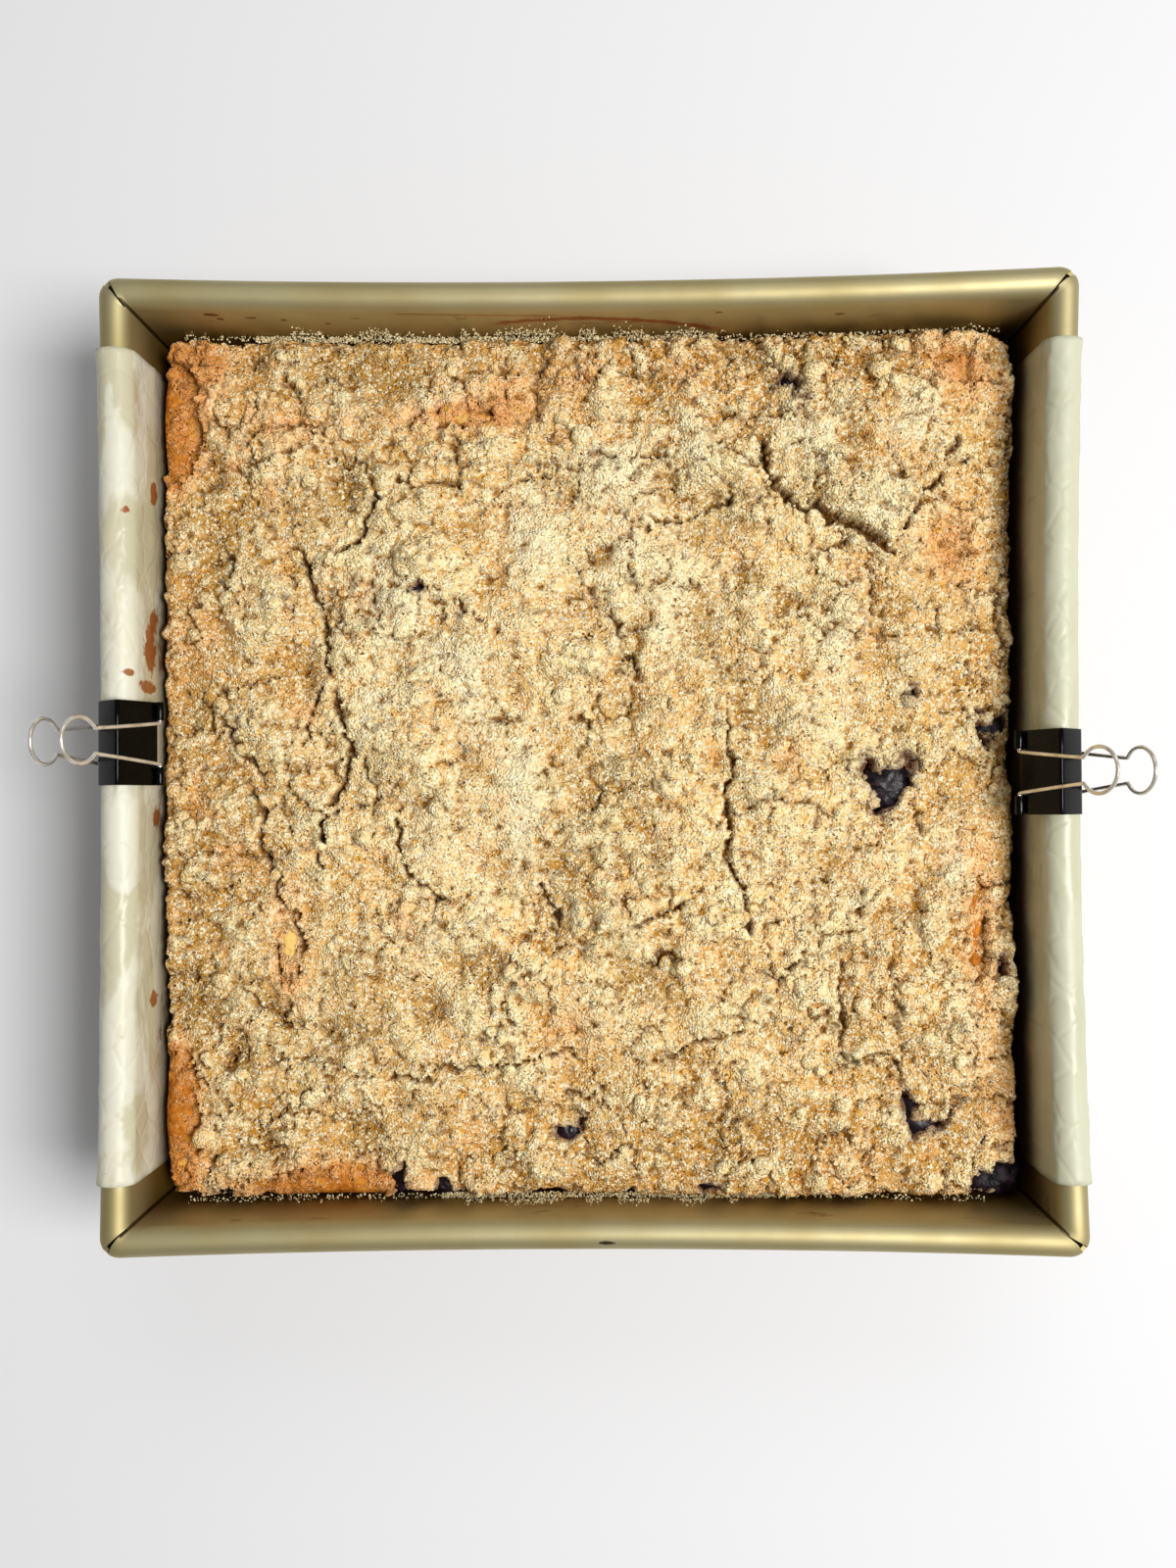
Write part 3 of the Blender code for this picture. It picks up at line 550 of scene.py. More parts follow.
# The cake. Places, radii, heights and depths are in millimetres.
cake = {
    "gaps": {"right": 2.2, "back": 0.4, "left": 1.0, "front": 0.4}, "rightTaper": 0.8,
    "bottom": 1.85, "foot": 2.2, "shoulder": 31.5, "edgeHeight": 39.6, "dome": 5.8, "thickness": 6.2,
    "span": 101.5, "inset": 0.2, "root": 3.0, "wobble": 0.45, "pull": 0.02,
    "edgeFall": 1.0, "edgeFallWidth": 2.0,
    # hills and hollows of the top: centre, radius, height
    "swells": (
        (68, 72, 17, 4.2), (30, 76, 11, 1.4), (-25, 72, 13, 1.2), (-72, 72, 10, 1.6),
        (-75, 44, 9, 1.7), (-45, 38, 13, 2.1), (-76, 8, 8, 1.4), (-43, 4, 13, 2.3),
        (-14, 30, 11, 2.2), (-16, -6, 12, 1.6), (12, -22, 13, 2.0), (16, 48, 10, 0.9),
        (6, 14, 8, -1.5), (48, 22, 11, 1.2), (50, -18, 12, 1.8), (86, 28, 9, 1.5),
        (84, -58, 10, 1.6), (46, -76, 11, 1.3), (-8, -52, 10, 1.4), (-52, -52, 12, 1.5),
        (-86, -48, 8, 1.2), (-70, -72, 8, -1.3), (34, 46, 6, -1.2), (60, -4, 8, -1.1),
    ),
    "spongeCells": 170, "spongePull": 0.015, "spongeSteps": (24, 16, 8),
    "spongeGrain": 0.22, "spongePores": 0.5,
    # sponge that breaks through: centre, half sizes, height above the crumb
    "bulges": (
        ((-97.5, 82), (6.5, 15, 4.5), 0.2), ((-98, -83), (6.0, 17, 4.5), 0.2),
        ((-62, -98.4), (19, 4.0, 4), 0.2), ((-70.6, -41.5), (2.9, 9.5, 3.5), 0.0),
        ((89.8, -39), (2.4, 13, 3.5), -0.1), ((-31, 81.4), (10, 2.0, 3.5), -0.2),
    ),
}

crumb = {
    "cells": 306, "seed": 40, "jitter": 0.18, "grit": 0.2,
    "swell": 1.0, "swellSize": 24, "wave": 1.0, "waveSize": 9, "ridge": 1.6, "valley": 3.0,
    "plate": 19.0, "plateStep": 1.5, "plateEdge": 0.16, "plateBend": (3.5, 8, 2),
    # three sizes of lump; bend is how far their borders wander, over what length, and its seed
    "clods": {"size": 11.0, "height": 1.9, "least": 0.1, "power": 2, "breadth": 0.7,
              "bend": (1.8, 4, 15), "seed": 6},
    "lumps": {"size": 5.0, "height": 1.8, "least": 0.25, "power": 2, "breadth": 0.75,
              "bend": (0.9, 2, 5), "seed": 7},
    "nodules": {"size": 2.3, "height": 0.85, "least": 0.3, "power": 1, "breadth": 0.8,
                "bend": (0.4, 1.1, 8), "seed": 11},
    "outlineWidth": 0.085, "outlineDark": 0.75,
    "hairlineCell": 10.0, "hairlineDepth": 1.9, "hairlineWidth": 0.045, "hairlineBend": (2.2, 7, 21),
    "pitCell": 6.5, "pitDepth": 1.3, "pitWidths": (0.05, 0.09), "pitLeast": 0.35, "lineDark": 0.8,
    "openingDepth": 4.2,
    # rings below the edge: share of the way down to the foot, and how far out
    "skirt": ((0.3, 0.1), (0.65, -0.2), (1.0, -0.9)),
    # cracks: width, depth, route
    "cracks": (
        (1.4, 3.2, ((-68.8, 51), (-65.6, 45.6), (-63.5, 39.8), (-61.3, 33.6), (-61.3, 26.5),
                    (-60.6, 20))),
        (1.0, 2.2, ((-62.2, 18.6), (-64, 14.4), (-65.5, 11.5), (-66.4, 3.7))),
        (1.3, 2.8, ((-59.2, 18), (-57.7, 11.4), (-55.6, 3.7), (-56.8, -3.4), (-61.2, -9.5),
                    (-62.3, -15.7), (-63, -26.4))),
        (1.2, 2.6, ((-49.9, 64.3), (-49.5, 62.2), (-51.5, 57.2), (-52, 54.2), (-54.6, 51), (-58.7, 49))),
        (0.9, 2.0, ((-85.5, 50.6), (-83.5, 48.7), (-84.2, 43.2), (-83.5, 38.4), (-80.8, 37.2))),
        (1.1, 2.4, ((-85.9, 18.3), (-84.7, 14.6), (-86, 12), (-84.3, 7.5), (-81.3, 3.4), (-78.8, 0.8),
                    (-74, -2.8))),
        (1.2, 2.4, ((-79.5, -4.2), (-76.3, -9.9), (-77.2, -19), (-72.7, -25.7), (-72.7, -30.2),
                    (-67.7, -38), (-66.8, -45.5))),
        (0.8, 1.8, ((-22.9, 61.5), (-19.9, 63.5), (-13.7, 67), (-5.5, 65.9))),
        (0.8, 1.8, ((-0.5, 72.5), (5.7, 71), (9.8, 72), (16.4, 71.4), (19.4, 71.8))),
        (0.9, 2.0, ((13, 57.2), (21.8, 56.2), (30, 59.4), (35, 62))),
        (2.3, 4.0, ((40.8, 75.7), (41, 71.6), (41.9, 67), (47, 61.3), (50, 58.7), (53.2, 59.8),
                    (55.2, 56.6), (62.2, 54.3), (69.2, 49.4), (70.7, 46.9))),
        (1.3, 3.0, ((85.3, 77.3), (85.7, 73.2), (83.2, 71.2), (82.5, 67), (75.8, 59.6), (73.3, 54.4),
                    (71, 52.6))),
        (1.0, 2.2, ((64.2, 47), (65.7, 38.7), (66.5, 33.7))),
        (1.3, 3.0, ((31.7, 14), (31.9, 4.9), (33.6, -0.4), (31, -6.2), (32.4, -16.5), (30.5, -21.4),
                    (34.8, -27.6), (36.5, -37.8), (35.6, -41.6))),
        (1.0, 2.2, ((87.7, 23.8), (87.6, 18.6), (88.5, 13.6))),
        (1.0, 2.2, ((75.3, 6.6), (75.9, -1.5), (75.2, -11.7), (76.7, -16.7))),
        (0.9, 2.0, ((67, -28.2), (65, -31.4), (60.9, -35.4))),
        (1.1, 2.4, ((59.3, -42), (56.7, -55.7), (58.7, -59), (57, -67.2), (60.6, -69), (69.2, -67.5),
                    (71.7, -71.8), (72, -76.3))),
        (0.9, 2.0, ((49, -43.5), (46.6, -47.6), (43.7, -47))),
        (1.0, 2.2, ((-65.7, -75), (-67.8, -79), (-72.8, -81.3), (-76.9, -82.9))),
        (0.9, 2.2, ((-58.6, -72), (-46.3, -72), (-38.8, -73.3), (-34.9, -69.9), (-20.2, -69.9),
                    (-4.9, -66.4), (-2, -69))),
        (0.9, 2.0, ((11, -69.6), (18.9, -68.2), (24.3, -64.2), (30.4, -63), (37, -61.5))),
        (0.9, 2.0, ((0, -76), (-0.9, -77.5), (-6.6, -76.5))),
        (0.9, 2.0, ((11.3, -47.4), (14.9, -46.3), (15.9, -43.4), (21.5, -45.9), (25.6, -46.8))),
        (1.0, 2.2, ((-44.5, -8.5), (-44.5, -17.8), (-43.2, -23.8), (-36.6, -29.5), (-30.4, -32.9))),
        (1.0, 2.4, ((-11.5, -27), (-10.4, -30), (-5.9, -38.3))),
        (1.0, 2.2, ((8.4, -38.3), (13, -36.8), (23.7, -30.9))),
        (0.9, 2.0, ((-45, 66.8), (-40, 64.6), (-34, 66), (-29, 64.5))),
        (0.8, 1.8, ((-31.3, 38.4), (-28, 35), (-24.4, 32.7))),
        (0.9, 2.0, ((-33.6, 94), (-31.8, 91), (-32.4, 88))),
        (1.0, 2.4, ((-82, -63), (-84.5, -67), (-86, -72))),
        (1.6, 2.6, ((4.6, 36), (7, 31), (8.4, 26), (12.8, 18.5))),
        (0.8, 1.8, ((96, 40), (94.6, 34), (96.5, 28), (95.4, 20))),
    ),
    # flattened lumps with a groove round them, painted darker as shade: centre, half sizes, turn in degrees
    "flakes": (
        (-86.7, -19, 5.4, 4.2, 20), (35.3, 42, 4.0, 3.0, -30), (44.4, 35, 3.4, 3.4, 0),
        (58, 36, 3.6, 2.8, 40), (70.5, 62, 4.4, 3.8, 10), (-74, 51, 4.0, 2.6, 0), (58, 84, 2.2, 4.2, 15),
        (-2, -36, 3.0, 4.4, 10), (70.6, 30.4, 3.0, 2.4, 0), (-26, 18.5, 2.2, 3.4, 10),
        (-54, -46, 4.8, 2.8, -20), (40, -55, 3.4, 2.4, 25),
    ),
    # toasted patches: centre, radius, strength, and for long ones how much longer, and the turn in degrees
    "toasts": (
        (84, 50, 8, 1.2, 1.3, 0), (86, 92, 6, 1.3, 1.8, 60), (-71, 78, 7, 0.8, 1.6, 90),
        (-16, 87, 6, 0.9, 2.0, -70), (0, 90, 5, 0.7), (-29, 82, 3, 0.9, 2.2, 80), (23.6, 90, 4, 0.8),
        (56, 89, 3, 0.8), (73, 71, 4, 0.7), (-91, 93, 8, 1.3), (-97, 78, 7, 1.2, 1.8, 0),
        (-75, 63, 2.6, 1.1), (-83.4, 69.6, 2.0, 1.1), (-66, 11, 3.5, 0.8), (-44, -36, 4, 0.9),
        (44, -35, 3, 0.8), (-5, -60, 7, 0.6), (-93, -7, 5, 0.6), (-97, -84, 7, 1.1, 2.0, 0),
        (-84, -20, 5, 0.8), (45, 0, 3, 0.9), (29, 2, 2.4, 0.8), (-62, -96, 5, 0.8, 2.6, 90),
        (97, -84, 5, 0.9, 2.0, 0), (-53, 40, 3, 0.6), (-93, 30, 6, 0.5, 2.0, 0),
        (60, -92, 5, 0.4, 2.0, 90), (27, -42, 3, 0.6), (4, 76, 3, 0.6), (54, 36, 3, 0.4),
        (68, 30, 3, 0.5), (-30, -84, 6, 0.4), (70, -48, 4, 0.4), (-20, -10, 3, 0.5), (92, -70, 5, 0.4),
    ),
    # pale ridges, raised and brightened with painted light, in the same way
    "pales": (
        (-13, 52, 7, 1.0, 1.6, 0), (6.5, 67, 8, 1.0, 1.0, 0), (26, 72, 5, 0.8, 1.5, 20),
        (-45, 37, 9, 0.9, 1.3, 20), (-29, 21, 6, 1.0, 2.4, 20), (-15, -8, 5, 1.2, 3.0, 0),
        (51, 77, 8, 0.8), (68, 58, 6, 0.9, 1.3, 40), (57, 26, 5, 0.7, 2.2, 0), (18, 32, 7, 0.7),
        (84, -25, 4, 0.9, 2.0, 0), (76, 78, 5, 0.8, 2.0, -20), (20, 46, 8, 0.6), (-36, -16, 9, 0.5),
        (-48, 12, 7, 0.6), (8, 48, 7, 0.8, 1.6, 0), (62, -30, 6, 0.4), (-78, 38, 5, 0.4, 1.6, 0),
        (-12, -70, 6, 0.3), (88, -60, 6, 0.4, 2.0, 0), (-35, 86, 6, 0.6), (4, 86, 5, 0.5),
        (-57, 84, 6, 0.4),
    ),
    # valleys, with olive painted shade in them, in the same way
    "shades": (
        (-58, 65, 6, 1.0, 1.4, -25), (8.8, 28, 2.2, 1.3, 3.6, -22), (35, 44.5, 3.6, 1.0),
        (44, 36.5, 3, 0.8), (2, 47, 2.6, 0.8), (16, 43, 2.4, 0.6), (-38, -7.5, 2.6, 1.0),
        (29, 2, 2.6, 0.8), (30, 60, 8, 0.6), (28, 29, 6, 0.6, 1.8, 0), (37, 9, 5, 0.8, 1.8, 0),
        (5, -6, 9, 0.7, 1.5, 0), (-5, -24, 6, 0.8, 1.3, 30), (13, -49, 8, 0.7),
        (-54, -56, 8, 0.7, 1.5, 0), (-84, -20, 5, 0.6), (-96, -56, 7, 1.0, 1.8, 0), (56, -24, 6, 0.6),
        (-52, 93, 7, 0.8, 1.8, 90), (61, 75, 4, 0.7, 2.0, 0), (-74.5, -56, 2.4, 1.0, 3.0, 28),
        (-84.5, -67.5, 2.4, 1.2, 1.8, -40), (-25.6, -48, 3.4, 0.8, 1.6, 0), (-36, -57, 3, 0.7),
        (18, -67.5, 2.2, 0.9, 2.6, 80), (-77, -85, 3, 0.8, 2.0, 30), (-53, -85, 4, 0.6),
        (-88, 48, 4, 0.8, 3.0, 0), (-90, 70, 4, 0.7, 2.0, 0), (-92, 12, 4, 0.6, 2.0, 0),
        (14, -20, 4, 0.6, 2.0, 0), (66, 38, 3, 0.6, 2.4, 10), (98, 60, 4, 0.8, 3.0, 0),
        (99, 0, 3, 0.8, 5.0, 0), (-12, 96, 3, 0.9, 2.0, 0), (60, 95, 3, 0.8, 3.0, 90), (-80, 96, 4, 0.6),
        (10, 14, 4, 0.6, 1.6, 0), (-66, -34, 3, 0.5), (48, -86, 5, 0.5), (62, -62, 5, 0.5),
        (30, -88, 5, 0.4), (-20, -92, 5, 0.5),
    ),
}

# Blueberries: centre, half sizes, top against the crumb
berries = (
    ((68.6, -4.6), (6.3, 7.0, 4.2), -0.5), ((76.2, -83.0), (6.0, 5.8, 4.0), -0.7),
    ((93.8, -97.0), (7.4, 4.9, 4.0), 0.2), ((-5.5, -85.6), (3.4, 3.2, 2.8), -0.6),
    ((-44.4, -97.0), (3.6, 4.3, 3.4), 0.0), ((-34.8, -98.4), (4.4, 3.0, 2.8), -0.2),
    ((-86.8, -99.0), (2.9, 2.6, 2.4), 0.0), ((-40.0, 40.3), (2.6, 2.4, 2.4), -0.7),
    ((47.6, 89.2), (3.2, 3.0, 2.4), -0.7), ((74.3, 15.3), (2.6, 2.6, 2.4), -0.6),
    ((93.6, 7.2), (4.2, 4.0, 3.2), -0.4), ((96.0, -48.2), (2.4, 3.4, 2.8), -0.3),
    ((27.0, -97.8), (2.6, 2.4, 2.2), -0.3),
)

# Where the crumb has opened over a berry: width and route
openings = (
    (3.2, ((63.8, 0), (65.4, -3.4), (68.3, -6.8))),
    (3.0, ((73.8, 0.9), (73.8, -3.1), (71.1, -6.8), (67.6, -11))),
    (2.6, ((65.8, -3.6), (69.3, -3.8), (72.5, -3.6))), (3.4, ((66.9, -5.6), (70.5, -6))),
    (1.7, ((73.3, -77.8), (74.1, -80.2), (74.5, -84), (75.4, -86.6))),
    (2.2, ((75, -85.4), (77.8, -84.5), (81, -84.6))), (0.8, ((84.2, -80.3), (82.6, -83.6))),
    (5.2, ((90.5, -98.2), (94, -98.2), (99, -98.2), (101, -98))), (4.0, ((94.9, -95.8), (100, -95.5))),
    (1.8, ((-44, -93.3), (-45.1, -95.9), (-44, -98.6), (-43.1, -101))),
    (2.8, ((-44.4, -100.6), (-38.2, -101.6), (-29.4, -101))), (2.2, ((-34.8, -98), (-34.7, -101.5))),
    (1.9, ((-7.8, -85.7), (-6, -86.4), (-3.8, -85.8))),
    (1.0, ((-3.8, -85.8), (-3, -84.2), (-2.4, -82.2))), (1.7, ((45.8, 89.9), (48.2, 89.7))),
    (0.8, ((43, 87.3), (45.3, 89))), (0.8, ((48.4, 89.4), (48.6, 86.9))),
    (0.9, ((48.3, 84.6), (50.4, 85))), (0.9, ((89.5, 12), (91.2, 10.8))),
    (2.0, ((91, 7.7), (93.7, 7.4), (96.6, 9.6))), (1.3, ((90.6, 5.9), (92.5, 4.3))),
    (1.1, ((95, -45), (95.3, -48), (96, -50.4))), (1.0, ((-41, 39.9), (-39.4, 40.1), (-38.8, 41))),
    (1.3, ((73.2, 15), (74.8, 15.6))), (1.0, ((74.6, 17.6), (75.6, 16.2))),
    (1.7, ((-88.4, -99.5), (-85.4, -99.8))), (1.6, ((25.6, -98.6), (28.4, -98.3))),
)


def crumbTop(x, y):
    u, v = x / cake["span"], y / cake["span"]
    dome = np.clip(1 - np.abs(u) ** 3, 0, None) * np.clip(1 - np.abs(v) ** 3, 0, None)
    z = cake["edgeHeight"] + cake["dome"] * dome
    for mx, my, radius, height in cake["swells"]:
        z = z + height * np.exp(-((x - mx) ** 2 + (y - my) ** 2) / (1.2 * radius * radius))
    z = z + 0.5 * np.sin(x / 4.1 + 2.1 * np.sin(y / 10.5)) + 0.4 * np.sin(y / 3.3 + 1.7 * np.sin(x / 8.7))
    edge = cake["span"] - np.maximum(np.abs(x), np.abs(y))
    return z - cake["edgeFall"] * np.exp(-np.maximum(edge, 0) / cake["edgeFallWidth"])


# Maps a square from -1 to 1 onto the cake's outline at a height
def cakePlace(u, v, z, inset, pull, wobble):
    keep = 1 - pull * np.abs(u * v) ** 10
    wobbleX = wobble * np.sin(9 * v + 2 * np.sin(5 * v)) * np.abs(u) ** 8
    wobbleY = wobble * np.sin(8 * u + 2 * np.sin(6 * u)) * np.abs(v) ** 8
    spans = []
    for k, (along, across) in enumerate(((u, v), (v, u))):
        plus, minus = (sides[k], sides[k + 2])
        out = [wallHalf(z) - cake["gaps"][side] - bow(side, across, z) - inset for side in (plus, minus)]
        if k == 0:
            out[0] = out[0] + cake["rightTaper"] * across  # that gap widens towards the front
        spans.append(np.where(along > 0, out[0], out[1]))
    return u * (spans[0] * keep - np.abs(wobbleX)), v * (spans[1] * keep - np.abs(wobbleY))


def spongeHeight(x, y):
    z = np.maximum(crumbTop(x, y) - cake["thickness"], cake["shoulder"])
    for bulge in cake["bulges"]:
        z = np.maximum(z, bulgeHeight(x, y, bulge))
    return z


def bulgeHeight(x, y, bulge):
    (bx, by), (rx, ry, rz), above = bulge
    far = ((x - bx) / rx) ** 2 + ((y - by) / ry) ** 2
    return crumbTop(x, y) + above - rz + rz * np.sqrt(np.clip(1 - far, 0, 1)) - 20 * (far >= 1)


# The values of a grid along its border, once round
def border(grid):
    return np.concatenate([grid[:, 0], grid[-1, 1:], grid[-2::-1, -1], grid[0, -2:0:-1]])


# Grid of a top surface with a skirt to a flat foot, closed underneath
def closedTop(xs, ys, zs, skirt):
    count = xs.shape[0]
    top = np.stack([xs, ys, zs], -1).reshape(-1, 3)
    faces = gridFaces(count, count)
    rim = border(np.arange(count * count).reshape(count, count)).tolist()
    points, previous = [top], rim
    at = len(top)
    for ring in skirt:
        points.append(ring)
        new = list(range(at, at + len(rim)))
        for k in range(len(rim)):
            j = (k + 1) % len(rim)
            faces.append([previous[k], new[k], new[j], previous[j]])
        previous, at = new, at + len(rim)
    faces.append(previous[::-1])
    return np.concatenate(points), faces, rim


def makeSponge(finish):
    count = cake["spongeCells"] + 1
    u, v = np.meshgrid(np.linspace(-1, 1, count), np.linspace(-1, 1, count), indexing="ij")
    x, y = cakePlace(u, v, cake["shoulder"], 0, cake["spongePull"], 0)
    pores = smoothStep(softNoise(x, y, 1.9, 72), 0.55, 0.9)
    z = spongeHeight(x, y)
    z = z + cake["spongeGrain"] * roughNoise(x, y, 2.6, 71, 3) - cake["spongePores"] * pores
    z[0, :] = z[-1, :] = z[:, 0] = z[:, -1] = cake["shoulder"]
    steps = [(height, 0) for height in (*cake["spongeSteps"], cake["bottom"] + cake["foot"])]
    skirt = []
    for height, inset in steps + [(cake["bottom"], cake["foot"])]:
        sx, sy = cakePlace(border(u), border(v), height, inset, cake["spongePull"], 0)
        skirt.append(np.stack([sx, sy, np.full(sx.shape, float(height))], 1))
    points, faces, _ = closedTop(x, y, z, skirt)
    made = makeMesh("spongeCake", points * mm, faces, finish)
    fixNormals(made)
    join(made, "sponge", "cake")


def patchSum(x, y, patches, seed):
    total = np.zeros(x.shape)
    wx = x + 1.5 * roughNoise(x, y, 7, seed)
    wy = y + 1.5 * roughNoise(x, y, 7, seed + 1)
    for px, py, radius, strength, *shape in patches:
        longer, turn = shape or (1, 0)
        c, s = math.cos(math.radians(turn)), math.sin(math.radians(turn))
        across, along = (wx - px) * c + (wy - py) * s, (wy - py) * c - (wx - px) * s
        total += strength * np.exp(-(across ** 2 + (along / longer) ** 2) / (radius * radius))
    return total


# How far noise pushes each place across and along
def nudge(x, y, most, length, seed):
    return most * softNoise(x, y, length, seed), most * softNoise(x, y, length, seed + 1)


# Adds lumps of one size. Gives the distances to the two nearest as well, and the nearest one's number.
def addLumps(z, x, y, lumpy, settings):
    pushX, pushY = nudge(x, y, *settings["bend"])
    seed = crumb["seed"] + settings["seed"]
    first, second, number = lumpCells(x + pushX, y + pushY, settings["size"], seed)
    height = settings["height"] * lumpy * (settings["least"] + number ** settings["power"])
    return z + height * (1 - np.minimum(first / settings["breadth"], 1) ** 2), first, second, number


# Cracks taper towards their ends, and the crumb beside them swells a little
def addCracks(z, dark, wx, wy):
    for k, (width, depth, route) in enumerate(crumb["cracks"]):
        far, along = routeDistance(wx, wy, route)
        ends = smoothStep(along, 0, 0.08) * smoothStep(1 - along, 0, 0.08)
        size = 0.42 * width * (0.3 + 0.7 * ends) * (1 + 0.5 * softNoise(wx, wy, 4, crumb["seed"] + 50 + k))
        gap = np.exp(-(far / np.maximum(size, 0.2)) ** 4)
        z = z - depth * gap * (0.5 + 0.5 * ends) + 0.25 * np.exp(-((far - 1.6) / 0.9) ** 2)
        dark = np.maximum(dark, gap * (0.6 + 0.4 * ends))
    return z, dark


# Fine cracks in patches, more of them near the cake's edge, then round pits
def addHairlines(z, dark, x, y, wx, wy, edge):
    seed = crumb["seed"]
    pushX, pushY = nudge(x, y, *crumb["hairlineBend"])
    first, second, _ = lumpCells(wx + pushX, wy + pushY, crumb["hairlineCell"], seed + 23)
    shown = softNoise(x, y, 11, seed + 24) + 0.5 * softNoise(x, y, 3.5, seed + 25) + 0.4 * np.exp(-edge / 25)
    line = np.exp(-((second - first) / crumb["hairlineWidth"]) ** 2) * smoothStep(shown, -0.15, 0.3)
    z = z - crumb["hairlineDepth"] * line
    dark = np.maximum(dark, crumb["lineDark"] * line)
    pit, _, deep = lumpCells(wx, wy, crumb["pitCell"], seed + 27)
    narrow, wider = crumb["pitWidths"]
    hole = np.exp(-(pit / (narrow + wider * deep)) ** 2) * (deep > crumb["pitLeast"])
    return z - crumb["pitDepth"] * hole, np.maximum(dark, crumb["lineDark"] * hole)


def addFlakes(z, dark, wx, wy):
    for fx, fy, rx, ry, turn in crumb["flakes"]:
        t = math.radians(turn)
        du = ((wx - fx) * math.cos(t) + (wy - fy) * math.sin(t)) / rx
        dv = (-(wx - fx) * math.sin(t) + (wy - fy) * math.cos(t)) / ry
        far = np.hypot(du, dv)
        z = z + 0.7 * smoothStep(1.05 - far, 0, 0.35) - 0.8 * np.exp(-((far - 1.08) / 0.12) ** 2)
        dark = np.maximum(dark, 0.35 * np.exp(-((far - 1.05) / 0.13) ** 2))
    return z, dark


# Opens the crumb over the berries. Also gives how far their juice has coloured it.
def openOverBerries(z, x, y, wx, wy):
    juice = np.zeros(x.shape)
    for width, route in openings:
        far, _ = routeDistance(wx, wy, route)
        size = 0.5 * width * (1 + 0.35 * softNoise(x, y, 2.2, crumb["seed"] + 38))
        z = z - crumb["openingDepth"] * smoothStep(size - far, -0.25, 0.45)
        juice = np.maximum(juice, np.exp(-(np.maximum(far - size, 0) / 0.8) ** 1.5))
    return z, juice


# Where sponge breaks through, crumb lies over it in patches and is toasted round it
def thinOverSponge(z, toast, x, y, wx, wy):
    seed = crumb["seed"]
    cover = 0.5 * softNoise(x, y, 2.7, seed + 36) + 0.35 * softNoise(x, y, 1.3, seed + 37)
    cover = cover + 0.3 * softNoise(x, y, 6, seed + 39)
    for bulge in cake["bulges"]:
        (bx, by), (rx, ry, _), _ = bulge
        far = np.hypot((wx - bx) / rx, (wy - by) / ry)
        over = bulgeHeight(x, y, bulge) + 1.5 * (cover + 0.08 + 0.9 * smoothStep(far, 0.35, 1.0)) - 0.1
        z = np.where(far < 0.97, np.minimum(z, np.maximum(over, z - 5)), z)
        toast = toast + 0.8 * np.exp(-(np.maximum(far - 0.85, 0) * min(rx, ry) / 2.6) ** 2)
    return z, toast


# Fine relief of the crumb, and the marks that colour it: how toasted, how dark with painted shade (in cracks
# and outlines), stained by juice, pale with painted light, in painted shade and lumpy each place is, and the
# number of its lump
def crumbRelief(x, y):
    seed = crumb["seed"]
    pale = np.clip(patchSum(x, y, crumb["pales"], seed), 0, 1.2)
    shade = np.clip(patchSum(x, y, crumb["shades"], seed), 0, 1.2)
    edge = cake["span"] - np.maximum(np.abs(x), np.abs(y))
    # lumpier near the edge, smoother where pale, and in between in patches
    patches = softNoise(x, y, 19, seed + 2) + 0.4 * softNoise(x, y, 8, seed + 8)
    lumpy = (1 - 0.5 * pale) * (1 + 0.35 * np.exp(-edge / 12))
    lumpy = lumpy * (0.35 + 0.95 * smoothStep(patches, -0.5, 0.6))
    z = crumbTop(x, y) + crumb["swell"] * roughNoise(x * 1.35, y * 0.8, crumb["swellSize"], seed + 4, 2)
    z = z + crumb["wave"] * roughNoise(x, y, crumb["waveSize"], seed + 3, 3)
    z = z + crumb["ridge"] * pale - crumb["valley"] * shade
    pushX, pushY = nudge(x, y, *crumb["plateBend"])
    middle, between, own = lumpCells(x + pushX, y + pushY, crumb["plate"], seed + 5)
    z = z + crumb["plateStep"] * (own - 0.5) * smoothStep(between - middle, 0, crumb["plateEdge"])
    z = addLumps(z, x, y, lumpy, crumb["clods"])[0]
    z, first, second, number = addLumps(z, x, y, lumpy, crumb["lumps"])
    z = addLumps(z, x, y, lumpy, crumb["nodules"])[0]
    # shade between lumps, in patches
    patchy = smoothStep(softNoise(x, y, 9, seed + 40) + 0.5 * softNoise(x, y, 4, seed + 41), -0.4, 0.6)
    outline = np.exp(-((second - first) / crumb["outlineWidth"]) ** 2)
    dark = crumb["outlineDark"] * patchy * outline * smoothStep(number, 0.1, 0.4)
    # wx and wy are places that wander, so that what is drawn on them is ragged
    (farX, farY), (nearX, nearY) = nudge(x, y, 0.8, 1.7, seed + 13), nudge(x, y, 0.5, 0.9, seed + 15)
    wx, wy = x + farX + nearX, y + farY + nearY
    z, dark = addCracks(z, dark, wx, wy)
    z, dark = addHairlines(z, dark, x, y, wx, wy, edge)
    z, dark = addFlakes(z, dark, wx, wy)
    toast = patchSum(x, y, crumb["toasts"], seed + 30) + 0.25 * np.exp(-edge / 3.5)
    speckle = softNoise(x, y, 5, seed + 33) + 0.5 * softNoise(x, y, 2.2, seed + 34)
    toast = toast + 0.35 * smoothStep(speckle, 0.62, 0.95)
    z, juice = openOverBerries(z, x, y, wx, wy)
    z, toast = thinOverSponge(z, toast, x, y, wx, wy)
    return z, {"toast": np.clip(toast, 0, 1.3), "dark": dark, "juice": np.clip(juice, 0, 1), "pale": pale,
               "own": number, "shade": np.clip(shade, 0, 1), "lumpy": np.clip(lumpy, 0, 1.3)}


# The crumb's marks as its finish reads them, three to a colour attribute
crumbMarks = {"bakeAndShade": ("toast", "dark", "juice"), "light": ("pale", "own", "shade"),
              "height": ("lumpy", "height", "swell")}


